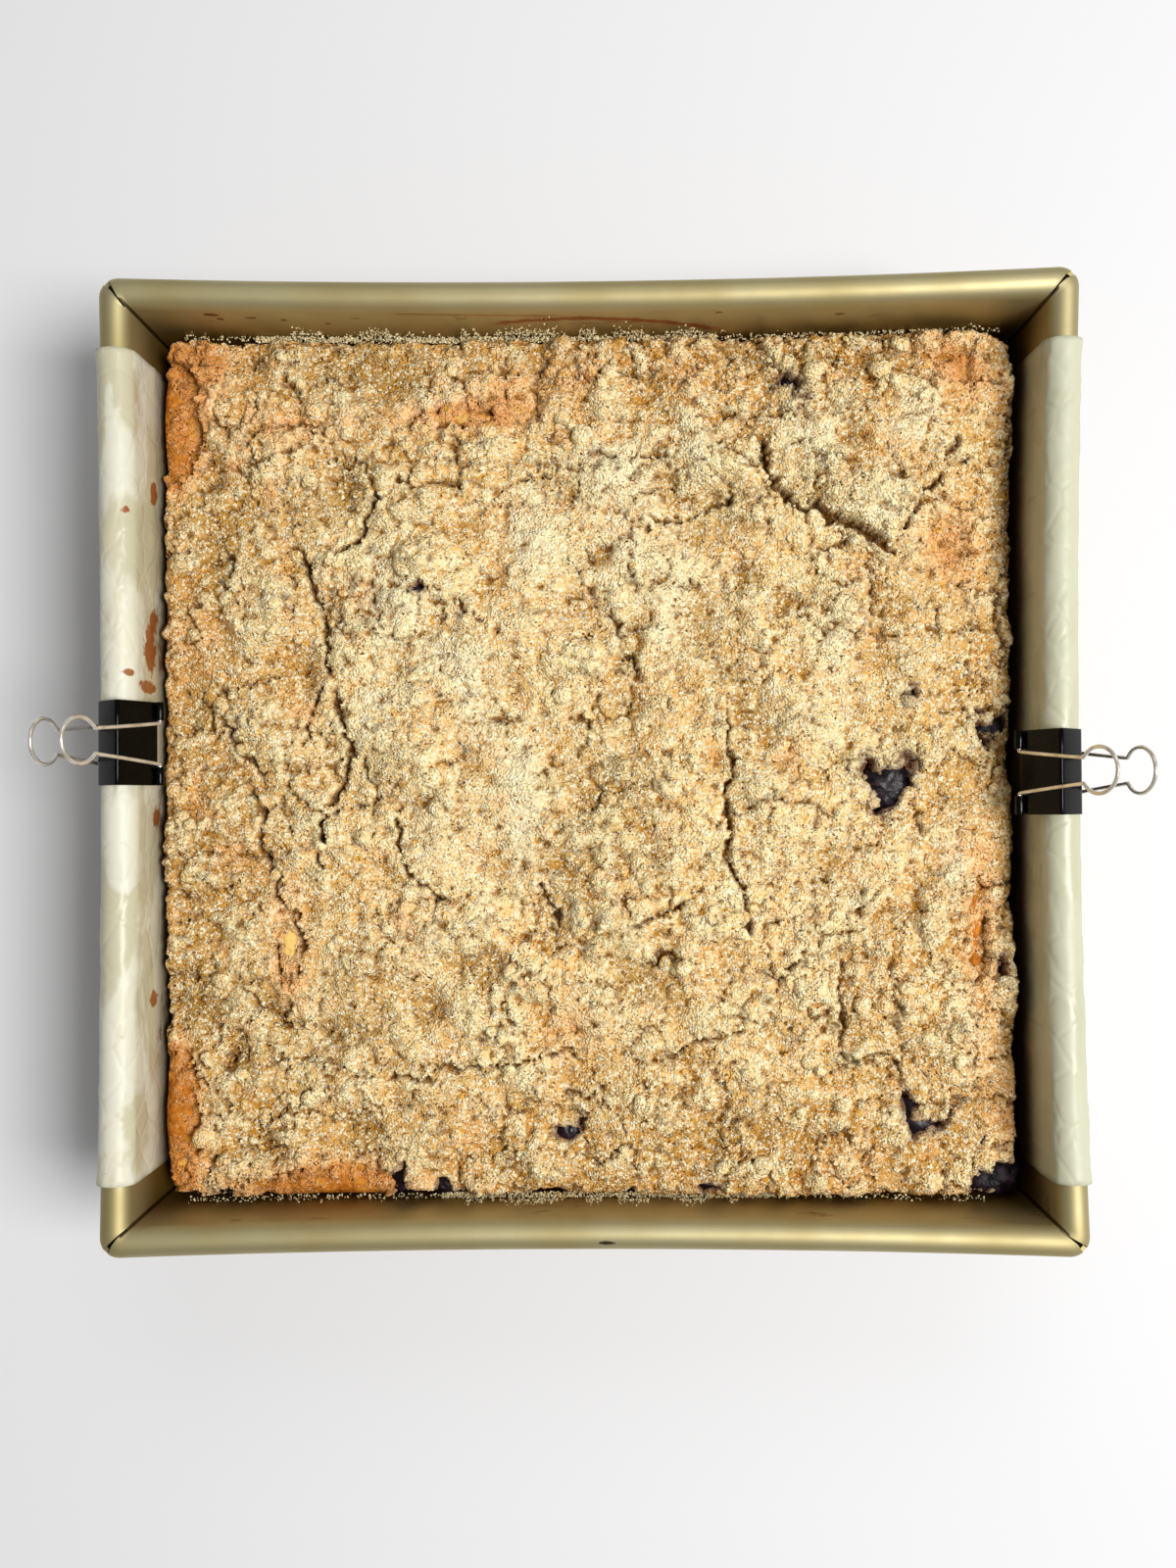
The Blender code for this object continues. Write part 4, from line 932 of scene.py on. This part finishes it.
def markCrumb(piece, marks):
    for layer, names in crumbMarks.items():
        mark(piece, layer, [marks[name] for name in names])


# How far each place of a grid stands above (or lies below) its surroundings
def relief(z, reach):
    smooth = z
    for _ in range(reach):
        smooth = np.pad(smooth, 1, mode="edge")
        smooth = (smooth[:-2] + 2 * smooth[1:-1] + smooth[2:]) / 4
        smooth = (smooth[:, :-2] + 2 * smooth[:, 1:-1] + smooth[:, 2:]) / 4
    return z - smooth


def crumbOutline(u, v):
    x, y = cakePlace(u, v, cake["shoulder"], cake["inset"], cake["pull"], cake["wobble"])
    ragX = (0.5 * softNoise(y, x, 3.1, 81) + 0.3 * softNoise(y, x, 1.4, 82) - 0.8) * np.abs(u) ** 24
    ragY = (0.5 * softNoise(x, y, 3.1, 83) + 0.3 * softNoise(x, y, 1.4, 84) - 0.55) * np.abs(v) ** 24
    return x + np.sign(u) * ragX, y + np.sign(v) * ragY


def makeTopping(finish):
    count = crumb["cells"] + 1
    rng = np.random.default_rng(crumb["seed"])
    u, v = np.meshgrid(np.linspace(-1, 1, count), np.linspace(-1, 1, count), indexing="ij")
    inside = (np.abs(u) < 1) & (np.abs(v) < 1)
    x, y = crumbOutline(u, v)
    x = x + inside * rng.uniform(-crumb["jitter"], crumb["jitter"], x.shape)
    y = y + inside * rng.uniform(-crumb["jitter"], crumb["jitter"], x.shape)
    z, marks = crumbRelief(x, y)
    z = z + crumb["grit"] * rng.normal(0, 1, z.shape)
    marks["height"] = np.clip(0.5 + 0.35 * relief(z, 3) + 0.30 * relief(z, 16), 0, 1)
    marks["swell"] = np.clip(0.5 + 0.25 * relief(z, 160), 0, 1)
    rim = np.maximum(np.abs(u), np.abs(v))
    z = z - 0.6 * smoothStep(rim, 0.988, 1.0)
    skirt = []
    edge = [border(grid) for grid in (x, y, z)]
    foot = cake["shoulder"] - cake["root"]
    for share, out in crumb["skirt"]:
        ex = edge[0] + out * np.sign(edge[0]) * (np.abs(edge[0]) > np.abs(edge[1]))
        ey = edge[1] + out * np.sign(edge[1]) * (np.abs(edge[1]) >= np.abs(edge[0]))
        ragged = 0.3 * rng.normal(0, 1, ex.shape) * (share < 1)
        skirt.append(np.stack([ex, ey, edge[2] * (1 - share) + foot * share + ragged], 1))
    points, faces, rimIndex = closedTop(x, y, z, skirt)
    made = makeMesh("crumbTopping", points * mm, faces, finish)
    columns = {}
    for name, values in marks.items():
        flat = values.ravel()
        side = flat[rimIndex] if name != "dark" else np.ones(len(rimIndex))  # the side lies in shade
        columns[name] = np.concatenate([flat] + [side] * len(skirt))
    markCrumb(made, columns)
    join(made, "crumb", "crumb_topping")
    return made, (x, y, z, marks)


# Loose pieces on the crumb, one joined mesh for each kind; rough is how uneven, sink how deep in each size
looseCrumbs = {
    "crumbLumps": {"count": 950, "sizes": (0.8, 2.4), "fineness": 2, "rough": 0.2, "sink": 0.3, "seed": 11},
    "crumbBits": {"count": 7500, "sizes": (0.3, 0.75), "fineness": 1, "rough": 0.25, "sink": 0.1, "seed": 12},
    "sugarGrains": {"count": 22000, "sizes": (0.16, 0.33), "fineness": 0, "rough": 0.25, "sink": -0.1,
                    "seed": 13},
}
# how they are shaped: stretched between least and most, tilted, and most of them small
looseShape = {"least": (0.75, 0.75, 0.55), "most": (1.3, 1.3, 0.85), "tilt": 0.5, "smallMore": 2.2}
# where they lie: places tried for each, how near the rim, and what makes a place likely or bars it
loosePlaces = {"tries": 6, "reach": 0.985, "base": 0.45, "rim": 0.55, "pale": 0.3,
               "juiceLimit": 0.9, "darkLimit": 0.4}


def ballShape(fineness):
    bm = bmesh.new()
    bmesh.ops.create_icosphere(bm, subdivisions=fineness, radius=1)
    points = np.array([v.co[:] for v in bm.verts])
    faces = np.array([[v.index for v in f.verts] for f in bm.faces])
    bm.free()
    return points, faces


def scatterPieces(name, settings, ground, finish):
    rng = np.random.default_rng(settings["seed"])
    x, y, z, marks = ground
    count, last = settings["count"], x.shape[0] - 1
    tries, reach = count * loosePlaces["tries"], loosePlaces["reach"]
    # more of them near the rim of the cake and in the rougher parts than in the calm middle
    u, v = rng.uniform(-reach, reach, (2, tries))
    i, j = ((np.array([u, v]) + 1) / 2 * last).round().astype(int)
    pale, juice, dark, lumpy = (marks[key][i, j] for key in ("pale", "juice", "dark", "lumpy"))
    weight = loosePlaces["base"] + loosePlaces["rim"] * np.maximum(np.abs(u), np.abs(v)) ** 3
    weight = weight - loosePlaces["pale"] * np.clip(pale, 0, 1)
    weight = weight * (juice < loosePlaces["juiceLimit"]) * (dark < loosePlaces["darkLimit"])
    weight = weight * (0.25 + 0.75 * np.clip(lumpy, 0, 1))
    keep = np.flatnonzero(rng.uniform(0, 1, tries) < weight)[:count]
    i, j = i[keep], j[keep]
    ball, ballFaces = ballShape(settings["fineness"]) if settings["fineness"] else octahedron()
    low, high = settings["sizes"]
    sizes = low + (high - low) * rng.uniform(0, 1, len(i)) ** looseShape["smallMore"]
    shape = ball[None] * (1 + settings["rough"] * rng.uniform(-1, 1, (len(i), len(ball), 1)))
    stretch = rng.uniform(looseShape["least"], looseShape["most"], (len(i), 3))
    shape = shape * sizes[:, None, None] * stretch[:, None]
    turn = rng.uniform(0, 2 * math.pi, len(i))
    tilt = rng.uniform(-looseShape["tilt"], looseShape["tilt"], len(i))
    shape = rotated(shape, turn, tilt)
    centre = np.stack([x[i, j], y[i, j], z[i, j] - settings["sink"] * sizes], 1)
    points = (shape + centre[:, None]).reshape(-1, 3)
    faces = (ballFaces[None] + (np.arange(len(i)) * len(ball))[:, None, None]).reshape(-1, 3)
    made = makeMesh(name, points * mm, faces.tolist(), finish, smooth=settings["fineness"] > 1)
    columns = {key: np.repeat(values[i, j], len(ball)) for key, values in marks.items()}
    columns["dark"] = columns["dark"] * 0
    markCrumb(made, columns)
    join(made, "crumb")


# Dry grains left on the tin's walls: side, from and to along it (-1 to 1), count, how far up they reach
wallGrains = {
    "bands": (
        ("back", -0.95, 0.96, 900, 1.2), ("back", -0.78, 0.3, 3000, 2.4), ("front", -0.35, 0.42, 2000, 2.2),
        ("front", -0.94, 0.9, 700, 1.1), ("back", -0.4, 0.2, 90, 6.0), ("front", -0.3, 0.3, 60, 6.0),
    ),
    "low": 38.0, "clump": 4.0, "sizes": (0.13, 0.36), "seed": 14,
    # below this height they also lie this far out from the wall
    "strewnBelow": 40, "strewn": 1.3, "clear": 0.15,
    "marks": {"toast": 0, "dark": 0, "juice": 0, "pale": 1, "own": 0, "shade": 0,
              "lumpy": 0.5, "height": 0.75, "swell": 0.8},
}


def scatterOnWalls(finish):
    rng = np.random.default_rng(wallGrains["seed"])
    ball, ballFaces = octahedron()
    centres = []
    for side, start, end, count, reach in wallGrains["bands"]:
        u = rng.uniform(start, end, count)
        crowd = softNoise(u * 100, u * 0, wallGrains["clump"], 91) + 0.5 * softNoise(u * 100, u * 0, 1.3, 92)
        crowd = smoothStep(crowd, -0.9, 0.9)
        up = wallGrains["low"] + np.abs(rng.normal(0, reach, count)) * (0.2 + 0.9 * crowd ** 2)
        sign = 1 if side == "back" else -1
        strewn = rng.uniform(0.0, wallGrains["strewn"], count) * (up < wallGrains["strewnBelow"])
        out = wallHalf(up) - bow(side, u, up) - strewn - wallGrains["clear"]
        centres.append(np.stack([u * tin["baseHalf"], sign * out, up], 1))
    centres = np.concatenate(centres)
    low, high = wallGrains["sizes"]
    sizes = low + (high - low) * rng.uniform(0, 1, len(centres)) ** 1.6
    shape = ball[None] * sizes[:, None, None] * rng.uniform(0.7, 1.2, (len(centres), 6, 1))
    shape = rotated(shape, rng.uniform(0, 6.28, len(centres)), rng.uniform(-0.5, 0.5, len(centres)))
    faces = (ballFaces[None] + (np.arange(len(centres)) * 6)[:, None, None]).reshape(-1, 3)
    points = (shape + centres[:, None]).reshape(-1, 3)
    made = makeMesh("wallGrains", points * mm, faces.tolist(), finish, smooth=False)
    markCrumb(made, wallGrains["marks"])
    join(made, "crumb")


def rotated(shape, turn, tilt):
    c, s = np.cos(turn)[:, None], np.sin(turn)[:, None]
    ct, st = np.cos(tilt)[:, None], np.sin(tilt)[:, None]
    x, y, z = shape[..., 0], shape[..., 1] * ct - shape[..., 2] * st, shape[..., 1] * st + shape[..., 2] * ct
    return np.stack([x * c - y * s, x * s + y * c, z], -1)


def octahedron():
    points = np.array([(1, 0, 0), (0, 1, 0), (-1, 0, 0), (0, -1, 0), (0, 0, 1), (0, 0, -1)], float)
    faces = [(k, (k + 1) % 4, 4) for k in range(4)] + [((k + 1) % 4, k, 5) for k in range(4)]
    return points, np.array(faces)


def crumbFinish():
    sandy = Finish("sandyCrumb", roughness=0.9, specular=0.02)
    toast, dark, juice = sandy.marks("bakeAndShade")
    pale, own, shade = sandy.marks("light")
    _, height, swell = sandy.marks("height")
    x, y = (abs(sandy.split(sandy.place, k)) * 1000 for k in (0, 1))
    broad = sandy.noise(15, detail=3, roughness=0.55)
    middle = sandy.noise(3.2, detail=3, roughness=0.6)
    colour = sandy.mix(broad.ramp(0.38, 0.62), paint(250, 206, 136), paint(255, 228, 166))
    colour = sandy.mix(x.top(y).ramp(50, 98) * 0.85, colour, paint(212, 156, 70))
    left, front = (sandy.split(sandy.place, k) * -1000 for k in (0, 1))
    colour = sandy.mix(left.ramp(55, 90).top(front.ramp(70, 96)) * 0.48, colour, paint(192, 138, 50))
    # painted light on the pale ridges
    colour = sandy.mix(pale * 0.9, colour, paint(255, 246, 204))
    # painted shade in broad hollows and painted light on broad rises
    colour = sandy.mix(swell.ramp(0.1, 0.5, 1.0, 0.0) * 0.7, colour, paint(206, 158, 84))
    colour = sandy.mix(swell.ramp(0.5, 0.9) * 0.5, colour, paint(255, 240, 186))
    colour = sandy.mix(own.ramp(0.5, 0.95) * middle.ramp(0.4, 0.6) * 0.5, colour, paint(240, 190, 128))
    colour = sandy.mix(middle.ramp(0.55, 0.7) * 0.3, colour, paint(234, 186, 104))
    # painted olive shade in patches laid by noise
    patchy = sandy.noise(8, detail=3).ramp(0.46, 0.64)
    colour = sandy.mix(patchy * middle.ramp(0.35, 0.6, 1.0, 0.3) * 0.45, colour, paint(180, 138, 58))
    # painted olive shade in the valleys
    colour = sandy.mix(shade * middle.ramp(0.3, 0.65, 0.95, 0.55), colour, paint(164, 128, 54))
    colour = sandy.mix(toast * middle.ramp(0.25, 0.6, 0.15, 1.0), colour, paint(255, 196, 132))
    scorched = (toast - 0.75).ramp(0.0, 0.4) * x.top(y).ramp(86, 98, 0.4, 0.9)
    colour = sandy.mix(scorched, colour, paint(206, 128, 48))
    # bits of zest-yellow and toffee-brown crumb
    bit = sandy.cells(4.2, jitter=0.9)
    chosen = sandy.split(sandy.cells(4.2, output="Color", jitter=0.9), 1)
    zest = bit.ramp(0.16, 0.30, 1.0, 0.0) * chosen.ramp(0.80, 0.84)
    toffee = bit.ramp(0.14, 0.24, 1.0, 0.0) * chosen.ramp(0.12, 0.16, 1.0, 0.0)
    colour = sandy.mix(zest * 0.8, colour, paint(236, 176, 66))
    colour = sandy.mix(toffee * 0.6, colour, paint(176, 112, 48))
    # painted shade in the small hollows and painted light on the peaks
    colour = sandy.mix(height.ramp(0.05, 0.45, 1.0, 0.0) * 0.8, colour, paint(188, 130, 36))
    colour = sandy.mix(height.ramp(0.55, 0.9) * (1 - toast * 0.7) * 0.5, colour, paint(255, 238, 182))
    # sandy grains, each a little different, with the pinholes and gaps between them painted dark as shade
    grain = sandy.cells(0.6)
    each = sandy.split(sandy.cells(0.6, output="Color"), 0)
    colour = sandy.mix(each.ramp(0.5, 0.9) * (1 - toast * 0.6) * 0.8, colour, paint(255, 249, 216))
    colour = sandy.mix(each.ramp(0.0, 0.25, 1.0, 0.0) * 0.25, colour, paint(206, 154, 76))
    crowd = sandy.noise(2.6, detail=2).ramp(0.42, 0.62) * 0.75 + 0.25
    pinhole = sandy.noise(0.62, detail=0.5).ramp(0.30, 0.37, 1.0, 0.0)
    pinhole = pinhole.top(sandy.noise(0.36, detail=0).ramp(0.22, 0.30, 1.0, 0.0))
    colour = sandy.mix(pinhole * (crowd * 0.9 + patchy * 0.2 + shade * 0.3), colour, paint(92, 48, 6))
    colour = sandy.mix(grain.ramp(0.5, 0.7) * crowd * 0.4, colour, paint(150, 92, 10))
    # painted shade in cracks, pits and the outlines between lumps
    colour = sandy.mix(dark * 0.85, colour, paint(82, 44, 8))
    colour = sandy.mix(juice * 0.7, colour, paint(92, 54, 58))
    sandy.set("Base Color", colour)
    under = sandy.bump(sandy.noise(1.4, detail=3, roughness=0.6), 0.001, 0.6)
    sandy.set("Normal", sandy.bump(1 - grain, 0.0008, 0.7, under=under))
    return sandy


def spongeFinish():
    baked = Finish("bakedSponge", roughness=0.7, specular=0.1)
    z = baked.split(baked.place, 2) * 1000
    spots = baked.noise(5, detail=4, roughness=0.6)
    x, y = baked.split(baked.place, 0) * 1000, baked.split(baked.place, 1) * 1000
    colour = baked.mix(spots.ramp(0.36, 0.62), paint(190, 120, 38), paint(156, 84, 20))
    colour = baked.mix(baked.noise(1.3, detail=2).ramp(0.45, 0.7) * 0.5, colour, paint(206, 144, 64))
    # paler and yellower away from the walls
    colour = baked.mix(abs(x).top(abs(y)).ramp(76, 88, 0.8, 0.0), colour, paint(238, 204, 120))
    # painted shade: the sponge's sides nearly black towards the bottom, down in the gap by the wall
    colour = baked.mix(z.ramp(24, 39, 0.95, 0.0), colour, paint(44, 20, 6))
    baked.set("Base Color", colour)
    pores = baked.cells(1.7).ramp(0.1, 0.45)
    baked.set("Normal", baked.bump(pores, 0.0005, 0.6, under=baked.bump(spots, 0.001, 0.4)))
    return baked


def makeBerries(finish):
    ball, ballFaces = ballShape(4)
    rng = np.random.default_rng(17)
    points, faces = [], []
    for k, ((x, y), radii, above) in enumerate(berries):
        top = float(crumbTop(np.array(float(x)), np.array(float(y)))) + above
        u = ball[:, 0] * 3 + 9 * k
        v = ball[:, 1] * 3 + 5 * ball[:, 2] + 3 * k
        folds = np.abs(roughNoise(u, v, 0.9, 60 + k, 3)) * 0.16
        burstX, burstY = rng.uniform(-0.4, 0.4), rng.uniform(-0.4, 0.4)
        burst = 0.12 * np.exp(-((ball[:, 0] - burstX) ** 2 + (ball[:, 1] - burstY) ** 2) / 0.06)
        shape = ball * (1.02 - folds - burst * (ball[:, 2] > 0))[:, None] * np.array(radii)
        points.append(shape + np.array([x, y, top - radii[2]]))
        faces += (ballFaces + k * len(ball)).tolist()
    made = makeMesh("blueberries", np.concatenate(points) * mm, faces, finish)
    join(made, "blueberry", *[f"blueberry_{k + 1}" for k in range(len(berries))])


def berryFinish():
    skin = Finish("blueberrySkin", roughness=0.3, specular=0.3)
    blotch = skin.noise(2.4, detail=3, roughness=0.6)
    colour = skin.mix(blotch.ramp(0.4, 0.65), paint(9, 4, 10), paint(28, 12, 26))
    colour = skin.mix(skin.noise(1.1, detail=2).ramp(0.62, 0.72) * 0.35, colour, paint(84, 52, 66))
    skin.set("Base Color", colour)
    skin.set("Roughness", blotch.ramp(0.35, 0.65, 0.3, 0.65))
    skin.set("Normal", skin.bump(skin.noise(0.8, detail=3), 0.0004, 0.5))
    return skin


# Binder clips, measured in millimetres from the centre of the roll: outward and up
clip = {
    "width": 19.0, "sheet": 0.35, "bend": (-1.95, 8.0), "spine": 8.3, "spineDrop": 42.5, "jaw": 11.8,
    "innerLean": 28.5, "outerLean": -7.5, "bendRadius": 0.7,
    "tube": 0.86, "tubeOpening": 10.6, "tubeTurn": 290, "tubeSteps": 16,
    "places": {"left": 5.0, "right": -2.8},
    "wire": 0.45, "length": 28.3, "leans": {"left": (28.0, 14.0), "right": (28.8, 17.4)},
    "foot": 4.65, "neck": 2.75, "loop": 5.0, "hook": 2.7, "loopSteps": 16,
}


def clipMatrix(side):
    y = clip["places"][side]
    middle = tin["rimHalf"] + tin["rollRadius"] - bow(side, y / tin["baseHalf"], tin["rollHeight"])
    sign = 1 if side == "right" else -1
    turn = Matrix.Rotation(0 if sign > 0 else math.pi, 4, "Z")
    return Matrix.Translation(Vector((sign * middle, y, tin["rollHeight"])) * mm) @ turn


def clipLips():
    bend, drop = Vector(clip["bend"]), math.radians(clip["spineDrop"])
    corner = bend + clip["spine"] * Vector((math.cos(drop), -math.sin(drop)))
    lips = {}
    for name, start in (("inner", bend), ("outer", corner)):
        turn = math.radians(clip[name + "Lean"])
        lips[name] = start - clip["jaw"] * Vector((math.sin(turn), math.cos(turn)))
    return bend, corner, lips


def tubeCentre(name, lips):
    lean = math.radians(clip[name + "Lean"])
    outward = Vector((math.cos(lean), -math.sin(lean))) * (-1 if name == "inner" else 1)
    return lips[name] + outward * clip["tube"], outward


def tubeCurl(name, lips):
    centre, outward = tubeCentre(name, lips)
    start = math.atan2(-outward.y, -outward.x)
    way = -1 if name == "inner" else 1
    steps, around = clip["tubeSteps"], clip["tubeTurn"]
    turns = [start + way * math.radians(around - around * k / steps) for k in range(steps + 1)]
    return [centre + clip["tube"] * Vector((math.cos(t), math.sin(t))) for t in turns]


# A short bend of five points in place of a sharp corner
def rounded(before, corner, after, radius):
    near = (before - corner).normalized() * radius
    far = (after - corner).normalized() * radius
    return [corner + near * (1 - t) ** 2 + far * t ** 2 for t in (0, 0.25, 0.5, 0.75, 1)]


def makeClip(side, finish):
    bend, corner, lips = clipLips()
    inner, outer = tubeCurl("inner", lips), tubeCurl("outer", lips)[::-1]
    section = inner + rounded(inner[-1], bend, corner, clip["bendRadius"])
    section += rounded(bend, corner, outer[0], clip["bendRadius"]) + outer
    half, opening = clip["width"] / 2, clip["tubeOpening"] / 2
    stations = [-half, -opening, opening, half]
    bm = bmesh.new()
    rows = [[bm.verts.new(Vector((p.x, y, p.y)) * mm) for p in section] for y in stations]
    for strip, (near, far) in enumerate(zip(rows, rows[1:])):
        first = len(inner) - 1 if strip == 1 else 0
        last = len(section) - len(outer) if strip == 1 else len(section) - 1
        for i in range(first, last):
            bm.faces.new((near[i], near[i + 1], far[i + 1], far[i]))
    bmesh.ops.delete(bm, geom=[v for v in bm.verts if not v.link_faces], context="VERTS")
    bm.transform(clipMatrix(side))
    bmesh.ops.recalc_face_normals(bm, faces=bm.faces)
    mesh = bpy.data.meshes.new(side + "ClipBody")
    bm.to_mesh(mesh)
    bm.free()
    mesh.materials.append(finish.material)
    body = bpy.data.objects.new(side + "ClipBody", mesh)
    bpy.context.scene.collection.objects.link(body)
    thick = body.modifiers.new("thickness", "SOLIDIFY")
    thick.thickness, thick.offset, thick.use_even_offset = clip["sheet"] * mm, 0, True
    soft = body.modifiers.new("edges", "BEVEL")
    soft.width, soft.segments, soft.limit_method = 0.09 * mm, 2, "ANGLE"
    soft.angle_limit = math.radians(50)
    keepModifiers(body)
    body.data.shade_smooth()
    body.data.set_sharp_from_angle(angle=math.radians(55))
    join(body, "clip", "clip_" + side)
    return lips


# One wire: hooked into the tube, drawn in to a neck, and bent to a round loop
def makeWire(side, name, lips, finish):
    lean = math.radians(clip["leans"][side][0 if name == "inner" else 1])
    pivot = tubeCentre(name, lips)[0]
    up = Vector((math.sin(lean), math.cos(lean)))
    centre = clip["length"] - clip["wire"] - clip["loop"]
    opening = math.degrees(math.asin(clip["neck"] / clip["loop"]))
    neckEnd = centre + clip["loop"] * math.cos(math.radians(180 - opening))
    foot = clip["foot"]
    flat = [(foot + clip["hook"], 0), (foot + 0.5, 0), (foot + 0.1, 0.12), (foot, 0.6)]
    # the leg comes in gently and turns out again just before the loop
    for t in (0.2, 0.4, 0.6, 0.75, 0.87, 0.95):
        flat.append((foot + (clip["neck"] - foot) * t ** 0.9, 0.6 + (neckEnd - 0.6) * t))
    for k in range(clip["loopSteps"]):
        turn = math.radians(180 - opening) * (1 - k / clip["loopSteps"])
        flat.append((clip["loop"] * math.sin(turn), centre + clip["loop"] * math.cos(turn)))
    flat.append((0, centre + clip["loop"]))
    flat += [(-across, far) for across, far in reversed(flat[:-1])]
    curve = bpy.data.curves.new(f"{side}Wire_{name}", "CURVE")
    curve.dimensions = "3D"
    curve.bevel_depth, curve.bevel_resolution, curve.use_fill_caps = clip["wire"] * mm, 3, True
    spline = curve.splines.new("POLY")
    spline.points.add(len(flat) - 1)
    place = clipMatrix(side)
    for point, (across, far) in zip(spline.points, flat):
        at = pivot + up * far
        point.co = (*(place @ (Vector((at.x, across, at.y)) * mm)), 1)
    spline.use_smooth = True
    curve.materials.append(finish.material)
    handle = bpy.data.objects.new(curve.name, curve)
    bpy.context.scene.collection.objects.link(handle)
    join(handle, "wire", f"clip_{side}_handle_{name}")


def enamelFinish():
    enamel = Finish("blackEnamel", roughness=0.14, specular=0.14)
    scuff = enamel.noise(1.6, detail=4, roughness=0.65)
    enamel.set("Base Color", enamel.mix(scuff.ramp(0.62, 0.75), paint(2, 2, 2), paint(14, 12, 10)))
    enamel.set("Roughness", scuff.ramp(0.4, 0.75, 0.13, 0.3))
    enamel.set("Normal", enamel.bump(enamel.noise(3, detail=2), 0.00008, 0.3))
    return enamel


def wireFinish():
    nickel = Finish("brightNickel", roughness=0.2, metallic=0.7)
    worn = nickel.noise(2.5, detail=3)
    nickel.set("Base Color", nickel.mix(worn.ramp(0.4, 0.7), paint(232, 228, 220), paint(206, 196, 178)))
    nickel.set("Roughness", worn.ramp(0.3, 0.7, 0.16, 0.28))
    nickel.set("Normal", nickel.bump(nickel.noise(0.9, detail=2), 0.00003, 0.25))
    return nickel


# Worktop, light and camera
studio = {
    "floor": (219, 219, 221), "floorHalf": 2.5,
    "world": 0.25,
    "key": {"at": (0.66, -0.12, 1.18), "size": (0.52, 0.52), "power": 20.3, "colour": (1.0, 0.99, 0.97)},
    "back": {"at": (0.15, 0.9, 1.0), "size": (0.8, 0.5), "power": 2.2, "colour": (1.0, 1.0, 1.0)},
    "camera": {"at": (0.00476565, -0.00963059, 0.3707102), "turn": (0.862, 0.923, -0.350), "focal": 1436.8},
    "image": (1200, 1600),
}


def makeFloor():
    half = studio["floorHalf"]
    stone = Finish("paleTop", roughness=0.6, specular=0.2)
    stone.set("Base Color", paint(*studio["floor"]))
    corners = [(-half, -half, 0), (half, -half, 0), (half, half, 0), (-half, half, 0)]
    made = makeMesh("worktop", corners, [[0, 1, 2, 3]], stone, smooth=False)


def makeLight(name, settings):
    lamp = bpy.data.lights.new(name, "AREA")
    lamp.shape = "RECTANGLE"
    lamp.size, lamp.size_y = settings["size"]
    lamp.energy, lamp.color = settings["power"], settings["colour"]
    made = bpy.data.objects.new(name, lamp)
    made.location = settings["at"]
    made.rotation_euler = (-Vector(settings["at"])).to_track_quat("-Z", "Y").to_euler()
    bpy.context.scene.collection.objects.link(made)


def makeWorld():
    world = bpy.data.worlds.new("softRoom")
    world.use_nodes = True
    world.node_tree.nodes["Background"].inputs["Color"].default_value = (1, 1, 1, 1)
    world.node_tree.nodes["Background"].inputs["Strength"].default_value = studio["world"]
    bpy.context.scene.world = world


def makeCamera():
    settings = studio["camera"]
    lens = bpy.data.cameras.new("camera")
    lens.sensor_fit = "VERTICAL"
    lens.sensor_height = lens.sensor_width = 36
    lens.lens = settings["focal"] * lens.sensor_height / studio["image"][1]
    lens.clip_start, lens.clip_end = 0.01, 20
    made = bpy.data.objects.new("camera", lens)
    made.location = settings["at"]
    made.rotation_euler = [math.radians(turn) for turn in settings["turn"]]
    bpy.context.scene.collection.objects.link(made)
    bpy.context.scene.camera = made


makeCamera()
makeFloor()
makeWorld()
makeLight("windowLight", studio["key"])
makeLight("backLight", studio["back"])
print("camera, worktop and light made")
makeTin(tinFinish())
print("tin made")
makePaper(paperFinish())
print("paper made")
makeSponge(spongeFinish())
sandy = crumbFinish()
topping, ground = makeTopping(sandy)
print("cake made:", len(topping.data.polygons), "faces of crumb")
for name, settings in looseCrumbs.items():
    scatterPieces(name, settings, ground, sandy)
scatterOnWalls(sandy)
makeBerries(berryFinish())
print("crumbs and berries made")
enamel, nickel = enamelFinish(), wireFinish()
for side in ("left", "right"):
    lips = makeClip(side, enamel)
    for name in ("inner", "outer"):
        makeWire(side, name, lips, nickel)
print("clips made")
